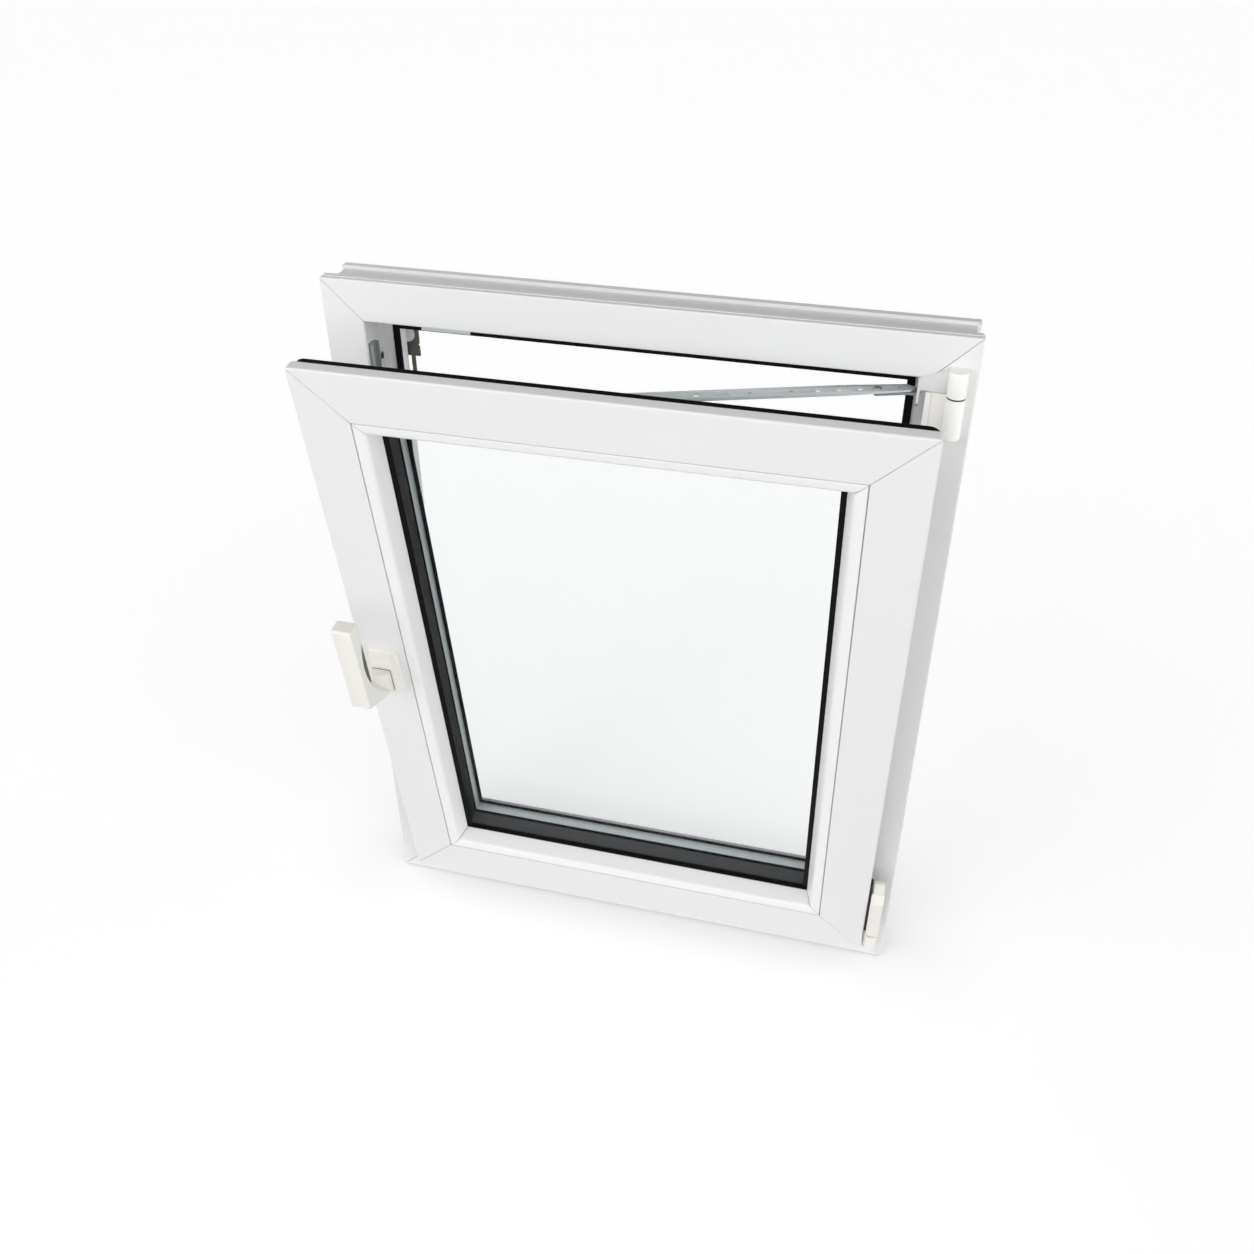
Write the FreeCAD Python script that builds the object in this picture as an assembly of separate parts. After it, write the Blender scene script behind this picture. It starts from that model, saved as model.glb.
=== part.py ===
import FreeCAD, Part
import math
import os
from FreeCAD import Vector

# Tilt and turn window in white plastic profile, sash held in its tilt position.
# Millimetres, +Z up, X to the right, Y away from the room.
# The origin lies on the flat underside of the sill, at the middle of its front sealing rail.

# Overall sizes of the fixed frame
FRAME_W = 700.0
FRAME_H = 900.0
FRAME_DEPTH = 60.0
FACE_SETBACK = 9.0

# Section of the frame profile
FACE_W = 47.0
FACE_BEVEL = 2.0
FACE_EDGE_IN = 0.5
RAIL_DEPTH = 14.0
RAIL_SLOT_AT = 5.0
RAIL_SLOT_W = 2.0
RAIL_SLOT_DEEP = 2.0
RECESS_DEEP = 6.5
RECESS_SLOPE = 1.5
BACK_LAND_DEPTH = 10.0
BACK_LAND_IN = 3.0
REBATE_STEP_AT = 4.5
REBATE_FLOOR_DEEP = 2.0
STOP_THICK = 16.0
STOP_H = 20.0
RIDGE_W = 4.0

# Section of the sash profile
SASH_INSET = 30.0
SASH_PROUD = 17.0
SASH_DEPTH = 78.0
SASH_LAND_DEPTH = 58.0
SASH_STEP_AT = 43.0
LIP_THICK = 14.0
LIP_W = 29.0
SASH_FACE_W = 60.0
OUTER_LEG_THICK = 6.0
GLASS_LINE = 80.0
EDGE_R = 2.5
SMALL_R = 1.2
TINY_R = 0.6

# Hardware groove round the edge of the sash
GROOVE_AT = 22.0
GROOVE_W = 16.0
FACEPLATE_THICK = 2.5

# Beads, glass unit and gaskets
BEAD_FRONT_W = 11.0
BEAD_DEEP = 22.0
GLAZING_GASKET = 2.0
PANE_THICK = 4.0
INNER_CAVITY = 20.0
OUTER_CAVITY = 14.0
GLASS_EDGE = 66.0
SPACER_H = 8.0
SPACER_SIGHT = 83.0
SEAL_FILM = 0.6
SEAL_OVERHANG = 5.0
GASKET_LIP = 2.5
GASKET_EDGE = 1.0
GASKET_SIDE_LIP = 6.0
LIP_GASKET_AT = 2.0
LIP_GASKET_W = 5.0
LIP_GASKET_ROOT = 2.0
LIP_GASKET_PROUD = 7.0
LIP_GASKET_OVER = 0.8
LIP_GASKET_TIP = 1.6
LIP_GASKET_R = 0.6
STOP_GASKET_W = 7.0
STOP_GASKET_PROUD = 4.5
STOP_GASKET_OVER = 1.5
STOP_GASKET_NOSE = 1.5
STOP_GASKET_FOOT = 2.7

# Tilt position of the sash
TILT_DEG = 8.8
PIVOT_PROUD = 6.0
PIVOT_H = 32.0

# Handle
HANDLE_V = 30.0
HANDLE_Z = 446.0
ROSE_W = 38.0
ROSE_H = 73.0
ROSE_PROUD = 12.0
ROSE_STEP = 2.2
ROSE_DRAFT = 1.5
ROSE_BASE_T = 5.0
ROSE_R = 8.0
NECK_GAP = 0.4
NECK_BELOW = 23.0
NECK_ABOVE = 11.0
LEVER_W = 23.0
LEVER_T = 19.0
LEVER_PROUD = 72.0
LEVER_TOP = 131.0
LEVER_HEEL = 7.0
LEVER_ELBOW = 22.0
LEVER_R = 3.0
SCOOP_L = 80.0
SCOOP_DEEP = 6.5
SCOOP_FROM_TOP = 26.0
BEARING_R = 9.0
BEARING_DEEP = 7.0
SPINDLE = 7.0
SPINDLE_HOLE = 10.5
SPINDLE_SHORT = 0.5

# Hinges on the right jamb
HINGE_R = 9.5
HINGE_GAP = 1.0
HINGE_PIN_R = 3.5
HINGE_PIN_SHORT = 5.0
HINGE_EDGE_R = 1.5
TOP_HINGE_DOWN = 32.0
TOP_KNUCKLE_H = 27.0
LOW_KNUCKLE_H = 44.0
KNUCKLE_GAP = 1.6
WING_T = 3.0
WING_WRAP = 2.0
WING_WRAP_DEEP = 4.0
WING_GROOVE_AT = 5.5
WING_GROOVE = 1.0
BEARING_Z = 30.0
BEARING_H = 24.0
BAND_IN = 2.5
BAND_PROUD = 2.0
BAND_BACK = 4.0
BAND_Z = 66.0
BAND_FACE_H = 74.0
BAND_SLOPE = 12.0
BAND_SLOPE_DEEP = 8.0
BAND_NECK_H = 22.0
BAND_NECK_IN = 1.5
BAND_CHAMFER = 2.5
SHIM_FRONT = 5.0
SHIM_T = 9.0

# Stay arm across the top of the opening
ARM_T = 1.8
ARM_W = 22.0
ARM_END_W = 15.0
ARM_TAPER = 66.0
ARM_FROM_JAMB = 19.0
ARM_FROM_FACE = 6.0
ARM_BELOW_HEAD = 15.5
ARM_REACH = 317.0
ARM_HOLE_R = 3.3
ARM_HOLES_AT = (50.0, 71.5, 93.0, 216.0)
ARM_SLOT_AT = 188.0
ARM_SLOT_L = 5.0
PIVOT_AT = 32.0
GUIDE_AT = 108.0
GUIDE_L = 96.0
GUIDE_W = 11.0
GUIDE_T = 2.0
SLIDE_L = 44.0
SLIDE_W = 14.0
SLIDE_T = 2.5
POST_SINK = 0.6
POST_R = 3.5
POST_H = 3.0
BRACKET_GAP = 1.0
BRACKET_L = 44.0
BRACKET_W = 14.0
BRACKET_T = 2.5
LUG_DROP = 12.0
LUG_R = 4.0
LUG_CLEAR = 1.0
STRAP_T = 2.2
STRAP_H = 24.0
STRAP_INNER_H = 12.0

# Small fittings
STRIKER_L = 56.0
STRIKER_W = 16.0
STRIKER_T = 7.0
STRIKER_WEB = 2.0
STRIKER_PLAY = 1.0
CAM_FROM_TOP = 104.0
CAM_FROM_BOTTOM = 250.0
SILL_CAM_SHARE = 0.18
HEAD_CAM_SHARE = 0.3
CAM_R = 4.0
CAM_HEAD_R = 5.5
CAM_H = 8.0
CAM_HEAD_T = 2.0
DRAIN_W = 42.0
DRAIN_H = 14.0
DRAIN_T = 3.0
DRAIN_SHARE = 0.28
DRAIN_UP = 19.0
CATCH_T = 2.5
CATCH_DISC_T = 2.0
CATCH_DISC_R = 9.5
CATCH_FROM_TOP = 82.0
CATCH_REACH = 13.5
CATCH_UNDER = 10.0
CATCH_UP = 8.0
CATCH_DOWN = 27.0
CATCH_NOTCH_R = 1.5
CATCH_STEM_W = 4.5
CATCH_STEM_L = 26.0
FIX_HOLE_R = 3.1
FIX_FROM_END = 200.0
FIX_FROM_BACK = 35.0
FIT = 0.1
SPARE = 1.0

Y_FACE = -FACE_SETBACK
Y_BACK = Y_FACE + FRAME_DEPTH
Y_STOP = Y_BACK - STOP_THICK
Y_SASH = Y_FACE - SASH_PROUD
SASH_W = FRAME_W - 2 * SASH_INSET
SASH_H = FRAME_H - 2 * SASH_INSET
MID_Z = FRAME_H / 2
STOP_EDGE = FACE_W + STOP_H
FLOOR_U = FACE_W - REBATE_FLOOR_DEEP
X_SASH = FRAME_W / 2 - SASH_INSET
X_JAMB = FRAME_W / 2 - FACE_W
HINGE_X = X_SASH + HINGE_GAP + HINGE_R
HINGE_Y = Y_FACE - HINGE_R
UPPER_LOW = FRAME_H - TOP_HINGE_DOWN - TOP_KNUCKLE_H

os.makedirs("parts", exist_ok=True)


def outline(points):
    """Closed wire in the Y-U plane from (y, u, corner radius) points, u going up Z."""
    count = len(points)
    corners = []
    for i in range(count):
        here = Vector(0, points[i][0], points[i][1])
        before = Vector(0, points[i - 1][0], points[i - 1][1])
        after = Vector(0, points[(i + 1) % count][0], points[(i + 1) % count][1])
        radius = points[i][2] if len(points[i]) > 2 else 0.0
        to_before = (before - here).normalize()
        to_after = (after - here).normalize()
        if radius <= 0:
            corners.append((here, None, here))
            continue
        half = to_before.getAngle(to_after) / 2
        reach = radius / math.tan(half)
        bisector = (to_before + to_after).normalize()
        middle = here + bisector * (radius / math.sin(half) - radius)
        corners.append((here + to_before * reach, middle, here + to_after * reach))
    edges = []
    for i in range(count):
        start, middle, end = corners[i]
        if middle is not None:
            edges.append(Part.Arc(start, middle, end).toShape())
        following = corners[(i + 1) % count][0]
        if end.distanceToPoint(following) > 1e-6:
            edges.append(Part.LineSegment(end, following).toShape())
    return Part.Wire(edges)


def member(points, length, across, turn):
    """One mitred side of a rectangle: its section runs along X, u points to the middle."""
    bar = Part.Face(outline(points)).extrude(Vector(length, 0, 0))
    bar.translate(Vector(-length / 2, 0, -across / 2))
    front = bar.BoundBox.YMin - SPARE
    low = -across / 2
    half = length / 2
    rise = max(point[1] for point in points) + SPARE
    corners = [Vector(-half, front, low), Vector(half, front, low),
               Vector(half - rise, front, low + rise), Vector(-half + rise, front, low + rise)]
    mitre = Part.Face(Part.makePolygon(corners + corners[:1]))
    solid = bar.common(mitre.extrude(Vector(0, bar.BoundBox.YLength + 2 * SPARE, 0)))
    solid.rotate(Vector(0, 0, 0), Vector(0, 1, 0), turn)
    solid.translate(Vector(0, 0, MID_Z))
    return solid.Solids[0]


TURNS = {"bottom": 0, "left": 90, "top": 180, "right": -90}


def side(points, width, height, where):
    """The named side of a mitred rectangle of this width and height."""
    if where in ("left", "right"):
        return member(points, height, width, TURNS[where])
    return member(points, width, height, TURNS[where])


def ring(points, width, height):
    """All four mitred sides joined into one loop."""
    sides = [side(points, width, height, where) for where in TURNS]
    return sides[0].multiFuse(sides[1:]).removeSplitter()


def tilted(shape):
    """Swing a piece of the sash from closed to its tilt position."""
    moved = shape.copy()
    moved.rotate(Vector(0, Y_FACE - PIVOT_PROUD, PIVOT_H), Vector(1, 0, 0), TILT_DEG)
    return moved


def write(name, shape):
    """Keep one piece as its own file."""
    shape.exportStep("parts/" + name + ".step")
    print(name, len(shape.Solids), round(shape.Volume / 1000, 1), "cm3")


def box(x, y, z, wide, deep, high):
    """Box by its lowest corner."""
    return Part.makeBox(wide, deep, high, Vector(x, y, z))


def frame_section():
    """Frame profile: sealing rail, recess and back land outside, rebate and stop inside."""
    slot = Y_FACE + RAIL_SLOT_AT
    rail = Y_FACE + RAIL_DEPTH
    land = Y_BACK - BACK_LAND_DEPTH
    return [
        (Y_FACE, FACE_EDGE_IN, FACE_BEVEL), (slot, FACE_EDGE_IN), (slot, RAIL_SLOT_DEEP),
        (slot + RAIL_SLOT_W, RAIL_SLOT_DEEP), (slot + RAIL_SLOT_W, 0), (rail, 0),
        (rail + RECESS_SLOPE, RECESS_DEEP), (land, RECESS_DEEP), (land, BACK_LAND_IN, SMALL_R),
        (Y_BACK, BACK_LAND_IN, SMALL_R), (Y_BACK, STOP_EDGE, SMALL_R),
        (Y_STOP, STOP_EDGE, SMALL_R), (Y_STOP, FACE_W + SMALL_R), (Y_STOP - RIDGE_W, FACE_W + SMALL_R),
        (Y_STOP - RIDGE_W, FLOOR_U), (Y_FACE + REBATE_STEP_AT, FLOOR_U),
        (Y_FACE + REBATE_STEP_AT, FACE_W), (Y_FACE, FACE_W, FACE_BEVEL)]


def sash_section():
    """Sash profile: overlapping lip, body with hardware groove, glass pocket and outer leg."""
    y_lip = Y_SASH + LIP_THICK
    groove = Y_SASH + GROOVE_AT
    land = Y_SASH + SASH_LAND_DEPTH
    back = Y_SASH + SASH_DEPTH
    leg = back - OUTER_LEG_THICK
    return [
        (Y_SASH, 0, EDGE_R), (y_lip, 0, SMALL_R), (y_lip, LIP_W), (groove, LIP_W),
        (groove, LIP_W + FACEPLATE_THICK), (groove + GROOVE_W, LIP_W + FACEPLATE_THICK),
        (groove + GROOVE_W, LIP_W), (land, LIP_W, SMALL_R), (land, SASH_STEP_AT),
        (back, SASH_STEP_AT, SMALL_R), (back, GLASS_LINE, EDGE_R),
        (leg, GLASS_LINE, SMALL_R), (leg, SASH_FACE_W), (Y_SASH, SASH_FACE_W)]


def bead_section():
    """Glazing bead: flat front, then a slope down to the glass."""
    y_in = Y_SASH + BEAD_DEEP
    ridge = SASH_FACE_W + BEAD_FRONT_W
    return [(Y_SASH, SASH_FACE_W), (y_in, SASH_FACE_W), (y_in, GLASS_LINE, TINY_R), (Y_SASH, ridge, EDGE_R)]


def frame_pieces():
    """Fixed frame members and the gasket on their stop."""
    names = {"top": "frame_head", "bottom": "frame_sill",
             "left": "frame_left_jamb", "right": "frame_right_jamb"}
    for where, name in names.items():
        shape = side(frame_section(), FRAME_W, FRAME_H, where)
        if where in ("left", "right"):
            for z in (FIX_FROM_END, FRAME_H - FIX_FROM_END):
                start = Vector(-FRAME_W, Y_BACK - FIX_FROM_BACK, z)
                shape = shape.cut(Part.makeCylinder(FIX_HOLE_R, 2 * FRAME_W, start, Vector(1, 0, 0)))
        write(name, shape)
    edge = STOP_EDGE + STOP_GASKET_OVER
    section = [(Y_STOP, STOP_EDGE - STOP_GASKET_W), (Y_STOP, STOP_EDGE - SMALL_R),
               (Y_STOP - STOP_GASKET_NOSE, edge), (Y_STOP - STOP_GASKET_PROUD, edge - GASKET_EDGE),
               (Y_STOP - STOP_GASKET_FOOT, STOP_EDGE - STOP_GASKET_W)]
    write("frame_gasket", ring(section, FRAME_W, FRAME_H))


def sash_pieces():
    """Sash members, beads, glass unit and gaskets, swung to the tilt position."""
    names = {"top": "top_rail", "bottom": "bottom_rail", "left": "left_stile", "right": "right_stile"}
    for where, name in names.items():
        write("sash_" + name, tilted(side(sash_section(), SASH_W, SASH_H, where)))
        write("bead_" + where, tilted(side(bead_section(), SASH_W, SASH_H, where)))
    write("sash_gasket", lip_gasket())
    y_bead = Y_SASH + BEAD_DEEP
    y_inner = y_bead + GLAZING_GASKET
    y_middle = y_inner + PANE_THICK + INNER_CAVITY
    y_outer = y_middle + PANE_THICK + OUTER_CAVITY
    y_end = y_outer + PANE_THICK
    inner = [(y_bead, GLASS_EDGE), (y_inner, GLASS_EDGE), (y_inner, GLASS_LINE + GASKET_LIP),
             (y_bead + GASKET_EDGE, GLASS_LINE + GASKET_LIP), (y_bead, GLASS_LINE)]
    lip = [(y_inner - GASKET_EDGE, GLASS_LINE), (y_inner, GLASS_LINE),
           (y_inner, GLASS_LINE + GASKET_SIDE_LIP), (y_inner - GASKET_EDGE, GLASS_LINE + GASKET_SIDE_LIP)]
    lips = [side(lip, SASH_W, SASH_H, where) for where in ("left", "right")]
    loop = ring(inner, SASH_W, SASH_H).multiFuse(lips).removeSplitter()
    write("bead_gasket", tilted(loop))
    y_leg = y_end + GLAZING_GASKET
    outer = [(y_end, GLASS_EDGE), (y_leg, GLASS_EDGE), (y_leg, GLASS_LINE),
             (y_end + GASKET_EDGE, GLASS_LINE + GASKET_LIP), (y_end, GLASS_LINE + GASKET_LIP)]
    write("outer_glazing_gasket", tilted(ring(outer, SASH_W, SASH_H)))
    wide = SASH_W - 2 * GLASS_EDGE
    high = SASH_H - 2 * GLASS_EDGE
    low = SASH_INSET + GLASS_EDGE
    for name, y in (("inner_pane", y_inner), ("middle_pane", y_middle), ("outer_pane", y_outer)):
        write(name, tilted(box(-wide / 2, y, low, wide, PANE_THICK, high)))
    write("inner_spacer", spacer(y_inner + PANE_THICK, y_middle))
    write("outer_spacer", spacer(y_middle + PANE_THICK, y_outer))
    seals = [seal(y_inner + PANE_THICK, y_middle, 0), seal(y_middle + PANE_THICK, y_outer, SEAL_OVERHANG)]
    write("edge_seal", Part.makeCompound(seals))


def lip_gasket():
    """Flap behind the sash lip, pressed flat where the sash meets the frame."""
    over = LIP_GASKET_OVER
    root = Y_SASH + LIP_THICK
    tip = root + LIP_GASKET_PROUD
    flap = [(root, over + LIP_GASKET_AT), (tip - LIP_GASKET_TIP, 0, LIP_GASKET_R),
            (tip, LIP_GASKET_TIP, LIP_GASKET_R),
            (root + LIP_GASKET_ROOT, over + LIP_GASKET_AT + LIP_GASKET_W),
            (root, over + LIP_GASKET_AT + LIP_GASKET_W)]
    loop = tilted(ring(flap, SASH_W + 2 * over, SASH_H + 2 * over))
    return loop.cut(box(-FRAME_W, Y_FACE - FIT, 0, 2 * FRAME_W, FRAME_DEPTH, FRAME_H))


def spacer(y_front, y_back):
    """Spacer bar round one cavity of the glass unit."""
    back = SPACER_SIGHT - SPACER_H
    section = [(y_front + SEAL_FILM, back), (y_back - SEAL_FILM, back),
               (y_back - SEAL_FILM, SPACER_SIGHT), (y_front + SEAL_FILM, SPACER_SIGHT)]
    return tilted(ring(section, SASH_W, SASH_H))


def seal(y_front, y_back, overhang):
    """Sealant behind and beside one spacer bar, standing past it on the rear pane."""
    back = SPACER_SIGHT - SPACER_H
    section = [(y_front, GLASS_EDGE), (y_back, GLASS_EDGE), (y_back, SPACER_SIGHT + overhang),
               (y_back - SEAL_FILM, SPACER_SIGHT + overhang), (y_back - SEAL_FILM, back),
               (y_front + SEAL_FILM, back), (y_front + SEAL_FILM, SPACER_SIGHT), (y_front, SPACER_SIGHT)]
    return tilted(ring(section, SASH_W, SASH_H))


def groove_pieces():
    """Steel faceplates in the hardware groove, and the locking cams that stand on them."""
    groove = Y_SASH + GROOVE_AT
    strip = [(groove, LIP_W), (groove, LIP_W + FACEPLATE_THICK),
             (groove + GROOVE_W, LIP_W + FACEPLATE_THICK), (groove + GROOVE_W, LIP_W)]
    plates = [side(strip, SASH_W, SASH_H, where) for where in TURNS]
    write("faceplates", tilted(Part.makeCompound(plates)))
    mid_y = groove + GROOVE_W / 2
    edge_x = X_SASH - LIP_W
    edge_low = SASH_INSET + LIP_W
    left = Vector(-1, 0, 0)
    spots = {
        "striker_left_upper": (Vector(-edge_x, mid_y, FRAME_H - CAM_FROM_TOP), left),
        "striker_left_lower": (Vector(-edge_x, mid_y, CAM_FROM_BOTTOM), left),
        "striker_right": (Vector(edge_x, mid_y, MID_Z), -left),
        "striker_sill": (Vector(-FRAME_W * SILL_CAM_SHARE, mid_y, edge_low), Vector(0, 0, -1)),
        "striker_head": (Vector(-FRAME_W * HEAD_CAM_SHARE, mid_y, FRAME_H - edge_low), Vector(0, 0, 1))}
    cams = []
    for name, (spot, out) in spots.items():
        stem = Part.makeCylinder(CAM_R, CAM_H, spot, out)
        head = Part.makeCylinder(CAM_HEAD_R, CAM_HEAD_T, spot + out * (CAM_H - CAM_HEAD_T), out)
        cams.append(stem.fuse(head).removeSplitter())
        write(name, striker(spot, out))
    write("locking_cams", tilted(Part.makeCompound(cams)))


def striker(spot, out):
    """Steel keeper on the rebate floor of the frame, with a channel along it for the cam."""
    along = Vector(abs(out.z), 0, abs(out.x))
    if out.x:
        base = Vector(out.x * (FRAME_W / 2 - FLOOR_U), spot.y, spot.z)
    else:
        base = Vector(spot.x, spot.y, MID_Z + out.z * (MID_Z - FLOOR_U))
    deep = Vector(0, 1, 0)
    channel = 2 * (CAM_HEAD_R + STRIKER_PLAY)
    block = bar_on(base, along, deep, out * -1, STRIKER_L, STRIKER_W, STRIKER_T)
    slot = bar_on(base - out * STRIKER_WEB, along, deep, out * -1, 2 * STRIKER_L, channel, STRIKER_T)
    return block.cut(slot)


def bar_on(base, along, across, up, length, width, thick):
    """Straight bar centred on base, standing up from it."""
    corners = [base + along * (length / 2 * a) + across * (width / 2 * b)
               for a, b in ((-1, -1), (1, -1), (1, 1), (-1, 1))]
    return Part.Face(Part.makePolygon(corners + corners[:1])).extrude(up * thick)


def plate(points, thick, base, along, across):
    """Flat plate from (along, across) points, thick in the direction of their cross product."""
    up = along.cross(across).normalize()
    corners = [base + along * a + across * b for a, b in points]
    return Part.Face(Part.makePolygon(corners + corners[:1])).extrude(up * thick)


def stay_pieces():
    """Stay arm from the top hinge to its slide on the sash, the guide under it and the bracket."""
    mid_y = Y_SASH + GROOVE_AT + GROOVE_W / 2
    top_z = FRAME_H - SASH_INSET - LIP_W
    frame_end = Vector(X_JAMB - ARM_FROM_JAMB, Y_FACE + ARM_FROM_FACE, FRAME_H - FACE_W - ARM_BELOW_HEAD)
    sash_x = frame_end.x - ARM_REACH
    slide = box(sash_x - SLIDE_L / 2, mid_y - SLIDE_W / 2, top_z, SLIDE_L, SLIDE_W, SLIDE_T)
    seat = tilted(Part.Vertex(Vector(sash_x, mid_y, top_z + SLIDE_T))).Point
    sash_end = seat + Vector(0, 0, POST_H)
    run = frame_end - sash_end
    length = run.Length
    along = run.normalize()
    across = Vector(0, 0, 1).cross(along).normalize()
    up = along.cross(across).normalize()
    half = ARM_W / 2
    end_half = ARM_END_W / 2
    narrow = length - ARM_TAPER
    arm = plate([(-half, -half), (narrow, -half), (length, -end_half), (length + end_half, 0),
                 (length, end_half), (narrow, half), (-half, half)], ARM_T, sash_end, along, across)
    below = up * -SPARE
    drill = ARM_T + 2 * SPARE
    holes = [frame_end - along * at for at in ARM_HOLES_AT]
    slot = frame_end - along * ARM_SLOT_AT
    for centre in holes + [slot - along * (ARM_SLOT_L / 2), slot + along * (ARM_SLOT_L / 2)]:
        arm = arm.cut(Part.makeCylinder(ARM_HOLE_R, drill, centre + below, up))
    arm = arm.cut(bar_on(slot + below, along, across, up, ARM_SLOT_L, 2 * ARM_HOLE_R, drill))
    pivot = frame_end - along * PIVOT_AT
    for pin in (sash_end, pivot):
        arm = arm.cut(Part.makeCylinder(POST_R + FIT / 2, drill, pin + below, up))
    write("stay_arm", arm)
    guide_mid = frame_end - along * (GUIDE_AT + GUIDE_L / 2)
    write("stay_guide", bar_on(guide_mid, along, across, up * -1, GUIDE_L, GUIDE_W, GUIDE_T))
    post = Part.makeCylinder(POST_R, POST_H + ARM_T + SPARE, sash_end - up * (POST_H + POST_SINK), up)
    write("stay_slide", tilted(slide).fuse(post).removeSplitter())
    write("stay_bracket", stay_bracket(frame_end, along, across, up))


def stay_bracket(frame_end, along, across, up):
    """Strip under the arm, a rounded lug at the jamb and a leaf over its edge to the top hinge."""
    under = up * -(BRACKET_GAP + BRACKET_T)
    strip_mid = frame_end - along * (BRACKET_L / 2 - ARM_END_W / 2) + under
    strip = bar_on(strip_mid, along, across, up, BRACKET_L, BRACKET_W, BRACKET_T)
    pin_low = frame_end - along * PIVOT_AT + under
    pin = Part.makeCylinder(POST_R, BRACKET_T + BRACKET_GAP + ARM_T, pin_low, up)
    lug_x = frame_end.x + ARM_END_W / 2 + LUG_CLEAR
    strap_y = Y_FACE - STRAP_T
    lug_low = strip.BoundBox.ZMin - LUG_DROP
    lug_back = frame_end.y + BRACKET_W / 2
    lug_high = UPPER_LOW + STRAP_INNER_H
    lug = box(lug_x, strap_y, lug_low, BRACKET_T, lug_back - strap_y, lug_high - lug_low)
    bottom = [edge for edge in lug.Edges
              if edge.BoundBox.ZMax < lug_low + FIT and edge.BoundBox.XLength > FIT]
    lug = lug.makeFillet(LUG_R, bottom)
    joint = box(frame_end.x, frame_end.y - ARM_END_W / 2, strip.BoundBox.ZMin,
                lug_x - frame_end.x + SPARE, ARM_END_W, BRACKET_T)
    knuckle_x = HINGE_X - HINGE_R
    strap = plate([(lug_x, UPPER_LOW), (knuckle_x, UPPER_LOW), (knuckle_x, UPPER_LOW + STRAP_H),
                   (lug_x, lug_high)], STRAP_T, Vector(0, Y_FACE, 0), Vector(1, 0, 0), Vector(0, 0, 1))
    return strip.multiFuse([pin, lug, joint, strap]).removeSplitter()


def knuckle(z_low, high):
    """Half-round knuckle on the face of the right jamb."""
    round_part = Part.makeCylinder(HINGE_R, high, Vector(HINGE_X, HINGE_Y, z_low))
    back = box(HINGE_X - HINGE_R, HINGE_Y, z_low, 2 * HINGE_R, HINGE_R, high)
    return round_part.fuse(back).removeSplitter()


def rounded_end(solid, z):
    """Round the edges of a solid that lie at this height."""
    edges = [edge for edge in solid.Edges
             if abs(edge.BoundBox.ZMax - z) < FIT and edge.BoundBox.ZLength < FIT]
    return solid.makeFillet(HINGE_EDGE_R, edges)


def hinge_pieces():
    """Top hinge on its pin, bottom hinge bearing, the band on the sash and the shim behind it."""
    lower_low = UPPER_LOW - KNUCKLE_GAP - LOW_KNUCKLE_H
    pin_high = TOP_KNUCKLE_H - HINGE_PIN_SHORT
    bore = Part.makeCylinder(HINGE_PIN_R + FIT / 2, pin_high, Vector(HINGE_X, HINGE_Y, UPPER_LOW))
    upper = rounded_end(knuckle(UPPER_LOW, TOP_KNUCKLE_H), UPPER_LOW + TOP_KNUCKLE_H)
    write("top_hinge_upper", upper.cut(bore))
    wing_x = X_JAMB - WING_WRAP
    wing = box(wing_x, Y_FACE - WING_T, lower_low, HINGE_X - wing_x, WING_T, LOW_KNUCKLE_H)
    wrap = box(wing_x, Y_FACE - WING_T, lower_low, WING_WRAP, WING_T + WING_WRAP_DEEP, LOW_KNUCKLE_H)
    groove = box(wing_x + WING_GROOVE_AT, Y_FACE - WING_T, lower_low - SPARE,
                 WING_GROOVE, WING_GROOVE, LOW_KNUCKLE_H + 2 * SPARE)
    pin = Part.makeCylinder(HINGE_PIN_R, KNUCKLE_GAP + pin_high - SPARE,
                            Vector(HINGE_X, HINGE_Y, UPPER_LOW - KNUCKLE_GAP))
    lower = rounded_end(knuckle(lower_low, LOW_KNUCKLE_H), lower_low)
    write("top_hinge_lower", lower.multiFuse([wing, wrap]).cut(groove).fuse(pin).removeSplitter())
    write("bottom_hinge_bearing", rounded_end(knuckle(BEARING_Z, BEARING_H), BEARING_Z))
    y_front = Y_SASH - BAND_PROUD
    y_back = Y_FACE - BAND_BACK
    z_face = BAND_Z + BAND_FACE_H
    z_slope = z_face + BAND_SLOPE
    left = HINGE_X - HINGE_R + BAND_IN
    right = HINGE_X + HINGE_R
    cover_side = [(y_back, BAND_Z), (y_front, BAND_Z, HINGE_EDGE_R), (y_front, z_face),
                  (y_front + BAND_SLOPE_DEEP, z_slope), (y_back, z_slope)]
    cover = Part.Face(outline(cover_side)).extrude(Vector(right - left, 0, 0))
    cover.translate(Vector(left, 0, 0))
    trim = Part.Face(Part.makePolygon([
        Vector(right - BAND_CHAMFER, y_front - SPARE, 0), Vector(right + SPARE, y_front - SPARE, 0),
        Vector(right + SPARE, y_front + BAND_CHAMFER + SPARE, 0),
        Vector(right - BAND_CHAMFER, y_front - SPARE, 0)])).extrude(Vector(0, 0, FRAME_H))
    neck_y = y_front + BAND_SLOPE_DEEP
    neck = box(left + BAND_NECK_IN, neck_y, z_slope - SPARE,
               right - left - 2 * BAND_NECK_IN, y_back - neck_y, BAND_NECK_H + SPARE)
    neck = rounded_end(neck, z_slope + BAND_NECK_H)
    write("bottom_hinge_band", tilted(cover.cut(trim).fuse(neck).removeSplitter()))
    shim_high = BAND_FACE_H + BAND_SLOPE + BAND_NECK_H
    shim = box(X_SASH, Y_SASH + SHIM_FRONT, BAND_Z, left - X_SASH, SHIM_T, shim_high)
    write("bottom_hinge_shim", tilted(shim))


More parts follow.
